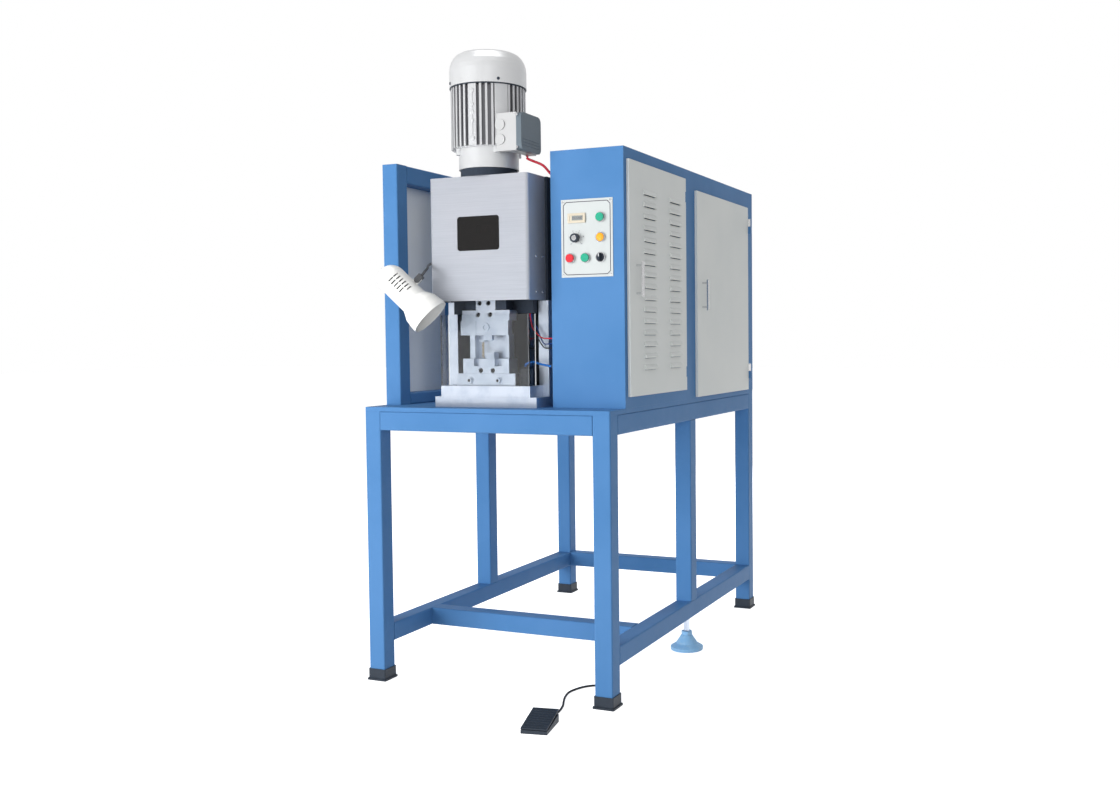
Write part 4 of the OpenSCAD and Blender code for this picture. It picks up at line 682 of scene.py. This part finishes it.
# Speed knob's grip: ridges moulded round the black skirt, and a plain bright cap.
# The cap is turned from bright metal and pressed into the knob's face.
RIDGES, RIDGE_RADIUS, RIDGE_HALF = 18, 10.8, 0.8
RIDGE_FRONT, RIDGE_BACK = 83, 92
KNOB_CAP = [(7, 0), (7, 1.3), (6.2, 2), (2, 2.1)]
ridges = []
for i in range(RIDGES):
    turn = 2 * math.pi * i / RIDGES
    x, z = DIAL[0] + RIDGE_RADIUS * math.cos(turn), DIAL[1] + RIDGE_RADIUS * math.sin(turn)
    ridges.append(slab((x - RIDGE_HALF, RIDGE_FRONT, z - RIDGE_HALF),
                       (x + RIDGE_HALF, RIDGE_BACK, z + RIDGE_HALF), round_by=0.35, segments=1))
settle(joined(ridges), "knob_ridges", moulded, "speed_knob")
settle(turned(KNOB_CAP, at(DIAL[0], RIDGE_FRONT, DIAL[1]), TO_FRONT, sides=28), "knob_cap",
       plated, "speed_knob")

# Selector's pointer: a white line let into the end of its grip.
# It is a strip of plastic, and turns with the grip.
POINTER = (674, 81.7, 1154), (676, 82.3, 1162)
pale = Look("white_line", Specular_IOR_Level=0.4)
pale_grain = pale.noise(600, 2)
pale.end(colour=pale.mix(pale_grain, (0.74, 0.75, 0.75), (0.82, 0.83, 0.83)),
         rough=0.4 + pale_grain * 0.1)
settle(slab(*POINTER, round_by=0.25, segments=1), "selector_line", pale, "selector")

# Counter's face: a grey window in the case's recess, with five digits that read nought.
# The window is a pressed plastic pane, and the digits are printed on it.
WINDOW = (594, 94.3, 1251), (625, 95.4, 1263)
DIGITS_PLACE, DIGITS_SIZE, DIGITS_DEPTH = (609.5, 94.27, 1252.9), 11.5, 0.04
glass = Look("counter_window", Specular_IOR_Level=0.6)
haze = glass.noise(400, 2)
glass.end(colour=glass.mix(haze, (0.24, 0.27, 0.26), (0.31, 0.34, 0.33)),
          rough=0.12 + haze * 0.1)
settle(slab(*WINDOW, round_by=0.3), "counter_glass", glass, "machine")
digits = lettering("00000", at(*DIGITS_PLACE), DIGITS_SIZE, DIGITS_DEPTH, "TOP_BASELINE")
settle(digits, "counter_digits", ink, "machine")

# Lamp's bulb and holder: a pearly glass bulb in a black socket, on the shade's axis.
# Both outlines run along that axis, and are measured from just above the holder's rim.
LAMP_PLACE = (159, -34, 1072)
LAMP_SWING, LAMP_TIP = math.radians(15.7), math.radians(134.4)
BULB = [(12, -6), (13, 0), (15, 10), (22, 26), (28, 40), (30, 50), (28, 61), (21, 71), (11, 77),
        (3, 78.5)]
HOLDER = [(16, -82), (18, -74), (18, -30), (15, -24), (15, -8), (13, -6)]
lamp_axis = Matrix.Rotation(LAMP_SWING, 3, "Z") @ Matrix.Rotation(LAMP_TIP, 3, "Y")
lamp_axis = lamp_axis @ Vector(TO_TOP)
pearl = Look("pearl_glass", Specular_IOR_Level=0.6)
frost = pearl.noise(60, 2)
pearl.end(colour=pearl.mix(frost, (0.84, 0.84, 0.82), (0.90, 0.90, 0.88)),
          rough=0.12 + frost * 0.1)
settle(turned(BULB, at(*LAMP_PLACE), lamp_axis, sides=36), "lamp_bulb", pearl, "lamp",
       angle=60)
settle(turned(HOLDER, at(*LAMP_PLACE), lamp_axis, sides=36), "lamp_holder", moulded, "lamp")

# Foot switch's strain relief: a ribbed rubber sleeve, about 21 mm long, that narrows along
# the cord. It is moulded round the cord where the cord leaves the foot switch.
SLEEVE_RIBS, SLEEVE_PITCH = 7, 3
SLEEVE_RADIUS, SLEEVE_TAPER, SLEEVE_NECK = 5.2, 0.28, 0.6
sleeve_rings = []
for i in range(SLEEVE_RIBS):
    top, foot = SLEEVE_RADIUS - SLEEVE_TAPER * i, SLEEVE_PITCH * i
    sleeve_rings += [(top, foot), (top, foot + 1.8), (top - SLEEVE_NECK, foot + 2.0),
                     (top - SLEEVE_NECK, foot + 2.8)]
sleeve_aim = from_pedal(*CORD_AHEAD) - from_pedal(*CORD_EXIT)
settle(turned(sleeve_rings, at(*from_pedal(*CORD_EXIT)), sleeve_aim, sides=20),
       "pedal_relief", moulded, "machine")

# Screws in the tooling: black socket heads, each with the round mouth of its key's hole,
# down in the ram's, the applicator's and the clamp's screw holes.
PRESS_X = MOTOR[0]
HEAD_RISE = 3
RAM_SCREWS = [(PRESS_X + x, 76.3, 993 + z)
              for x, z in ((-23, 16), (14, 16), (-18.5, 47), (8.5, 47))]
APPLICATOR_SCREWS = [(PRESS_X + x, 85.8, 859) for x in (-21, 16)]
CLAMP_SCREWS = [(PRESS_X + x, 69.5, 832) for x in (-52, 36)]
black_steel = Look("black_screws", Metallic=0.4)
oiled = black_steel.noise(700, 2)
black_steel.end(colour=black_steel.mix(oiled, (0.012, 0.013, 0.016), (0.03, 0.032, 0.037)),
                rough=0.3 + oiled * 0.2)


def socket_heads(places, radius, name, body):
    """Black screws whose heads show at the given places, as one piece."""
    head = [(radius, 0), (radius, 2.6), (radius * 0.9, HEAD_RISE), (radius * 0.55, HEAD_RISE),
            (radius * 0.5, 0.8)]
    cups = [turned(head, at(*place), TO_FRONT, sides=24) for place in places]
    settle(joined(cups), name, black_steel, body)


socket_heads(RAM_SCREWS, 6.1, "ram_socket_heads", "ram")
socket_heads(APPLICATOR_SCREWS, 6.1, "applicator_socket_heads", "machine")
socket_heads(CLAMP_SCREWS, 3.8, "clamp_socket_heads", "machine")

# Motor's trimmings: a black ring put in the gap under the cowl as painted shade of the gap, the
# cowl's screws, and the cast rib with its bosses and bolts down the front strip. A plain rib
# runs down behind.
GAP_RING_RADIUS, GAP_RING_THICK, GAP_RING_RISE = 101.2, 1.7, 1.5
COWL_SCREW = [(4, 0), (4, 1.2), (3, 2.2), (1, 2.4)]
COWL_SCREW_RADIUS, COWL_SCREW_RISE = 102.8, 12
STRIP_TURN, BOSS_RADIUS = 5, 98
BOSSES = ((1592, 7, 6), (1556, 5.5, 24), (1536, 6.5, 24), (1514, 5.5, 24), (1468, 8, 6))
RIB_RADIUS, RIB_THICK, RIB_FOOT, RIB_LENGTH = 99.4, 2.6, 1466, 130


def outward(turn):
    """The level direction away from the motor, turned from straight in front to its right."""
    turn = math.radians(turn - 90)
    return Vector((math.cos(turn), math.sin(turn), 0))


def round_motor(turn, radius, z):
    """A place beside the motor, in that direction from its axis."""
    return at(*MOTOR, z) + outward(turn) * radius / 1000


bpy.ops.object.select_all(action="DESELECT")
# Painted shade: a black ring that darkens the gap under the cowl.
bpy.ops.mesh.primitive_torus_add(
    major_radius=GAP_RING_RADIUS / 1000, minor_radius=GAP_RING_THICK / 1000, major_segments=96,
    minor_segments=10, location=at(*MOTOR, motor_high.z + GAP_RING_RISE))
settle(bpy.context.object, "cowl_ring", moulded, "machine", angle=60)
screws = [turned(COWL_SCREW,
                 round_motor(turn, COWL_SCREW_RADIUS, motor_high.z + COWL_SCREW_RISE),
                 outward(turn), sides=20) for turn in (45, 135, 225, 315)]
settle(joined(screws), "cowl_screws", casting, "machine")
bosses = [turned([(size, -3), (size, 2.5), (size * 0.75, 4.5), (size * 0.3, 4.8)],
                 round_motor(STRIP_TURN, BOSS_RADIUS, z), outward(STRIP_TURN), sides)
          for z, size, sides in BOSSES]
bosses += [turned([(RIB_THICK, 0), (RIB_THICK, RIB_LENGTH)],
                  round_motor(turn, RIB_RADIUS, RIB_FOOT), TO_TOP, sides=12)
           for turn in (STRIP_TURN, STRIP_TURN + 180)]
settle(joined(bosses), "motor_bosses", alloy, "machine")

# Terminal box's lid: three level ribs cast low on its face, each shorter than the one below,
# and four hexagon screws.
# The screws stand out from the lid's front and rear edges.
LID_RIBS, LID_RIB_SINK, LID_RIB_PROUD = 3, 0.4, 0.8
LID_RIB_FRONT, LID_RIB_REAR, LID_RIB_FOOT, LID_RIB_WIDTH = 9, 6, 13, 3
LID_RIB_SHORTER, LID_RIB_PITCH = 2, 8
LID_SCREW = [(3.6, 0), (3.6, 3), (2.6, 4)]
LID_SCREW_X, LID_SCREW_ROWS = 474, (1440, 1524)
LID_EDGES = ((24, TO_FRONT), (134, TO_REAR))
ribs = []
for i in range(LID_RIBS):
    shorter, foot = LID_RIB_SHORTER * i, box_low.z + LID_RIB_FOOT + LID_RIB_PITCH * i
    ribs.append(slab((box_high.x - LID_RIB_SINK, box_low.y + LID_RIB_FRONT + shorter, foot),
                     (box_high.x + LID_RIB_PROUD, box_high.y - LID_RIB_REAR - shorter,
                      foot + LID_RIB_WIDTH), round_by=0.4, segments=1))
settle(joined(ribs), "lid_ribs", lidded, "machine")
pins = [turned(LID_SCREW, at(LID_SCREW_X, y, z), aim, sides=6)
        for y, aim in LID_EDGES for z in LID_SCREW_ROWS]
settle(joined(pins), "lid_screws", plated, "machine")

# Wires in the throat: thin plastic leads from the guide's plate to the cabinet's side.
# Each hangs in its own bend, at its own depth, and ends at its own height.
WIRE_RADIUS = 1.6
WIRES = {"red": (118, 966, 944, (0.62, 0.012, 0.03)),
         "navy": (126, 978, 930, (0.012, 0.05, 0.22)),
         "black": (130, 950, 918, (0.012, 0.013, 0.018))}
for name, (y, dip, end, colour) in WIRES.items():
    points = [(452, y, 1011.5), (453, y, 1000), (460, y - 2, dip + 8), (474, y - 4, dip - 6),
              (492, y - 4, end + 2), (512, y - 2, end), (523, y, end), (529.6, y, end)]
    wire, wire_line, wire_length = lead(name + "_wire", points, WIRE_RADIUS)
    jacket = gloss_moulding(name + "_jacket", colour, tuple(c * 1.25 for c in colour))
    wire.data.materials.append(jacket.material)
    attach(wire, "machine")
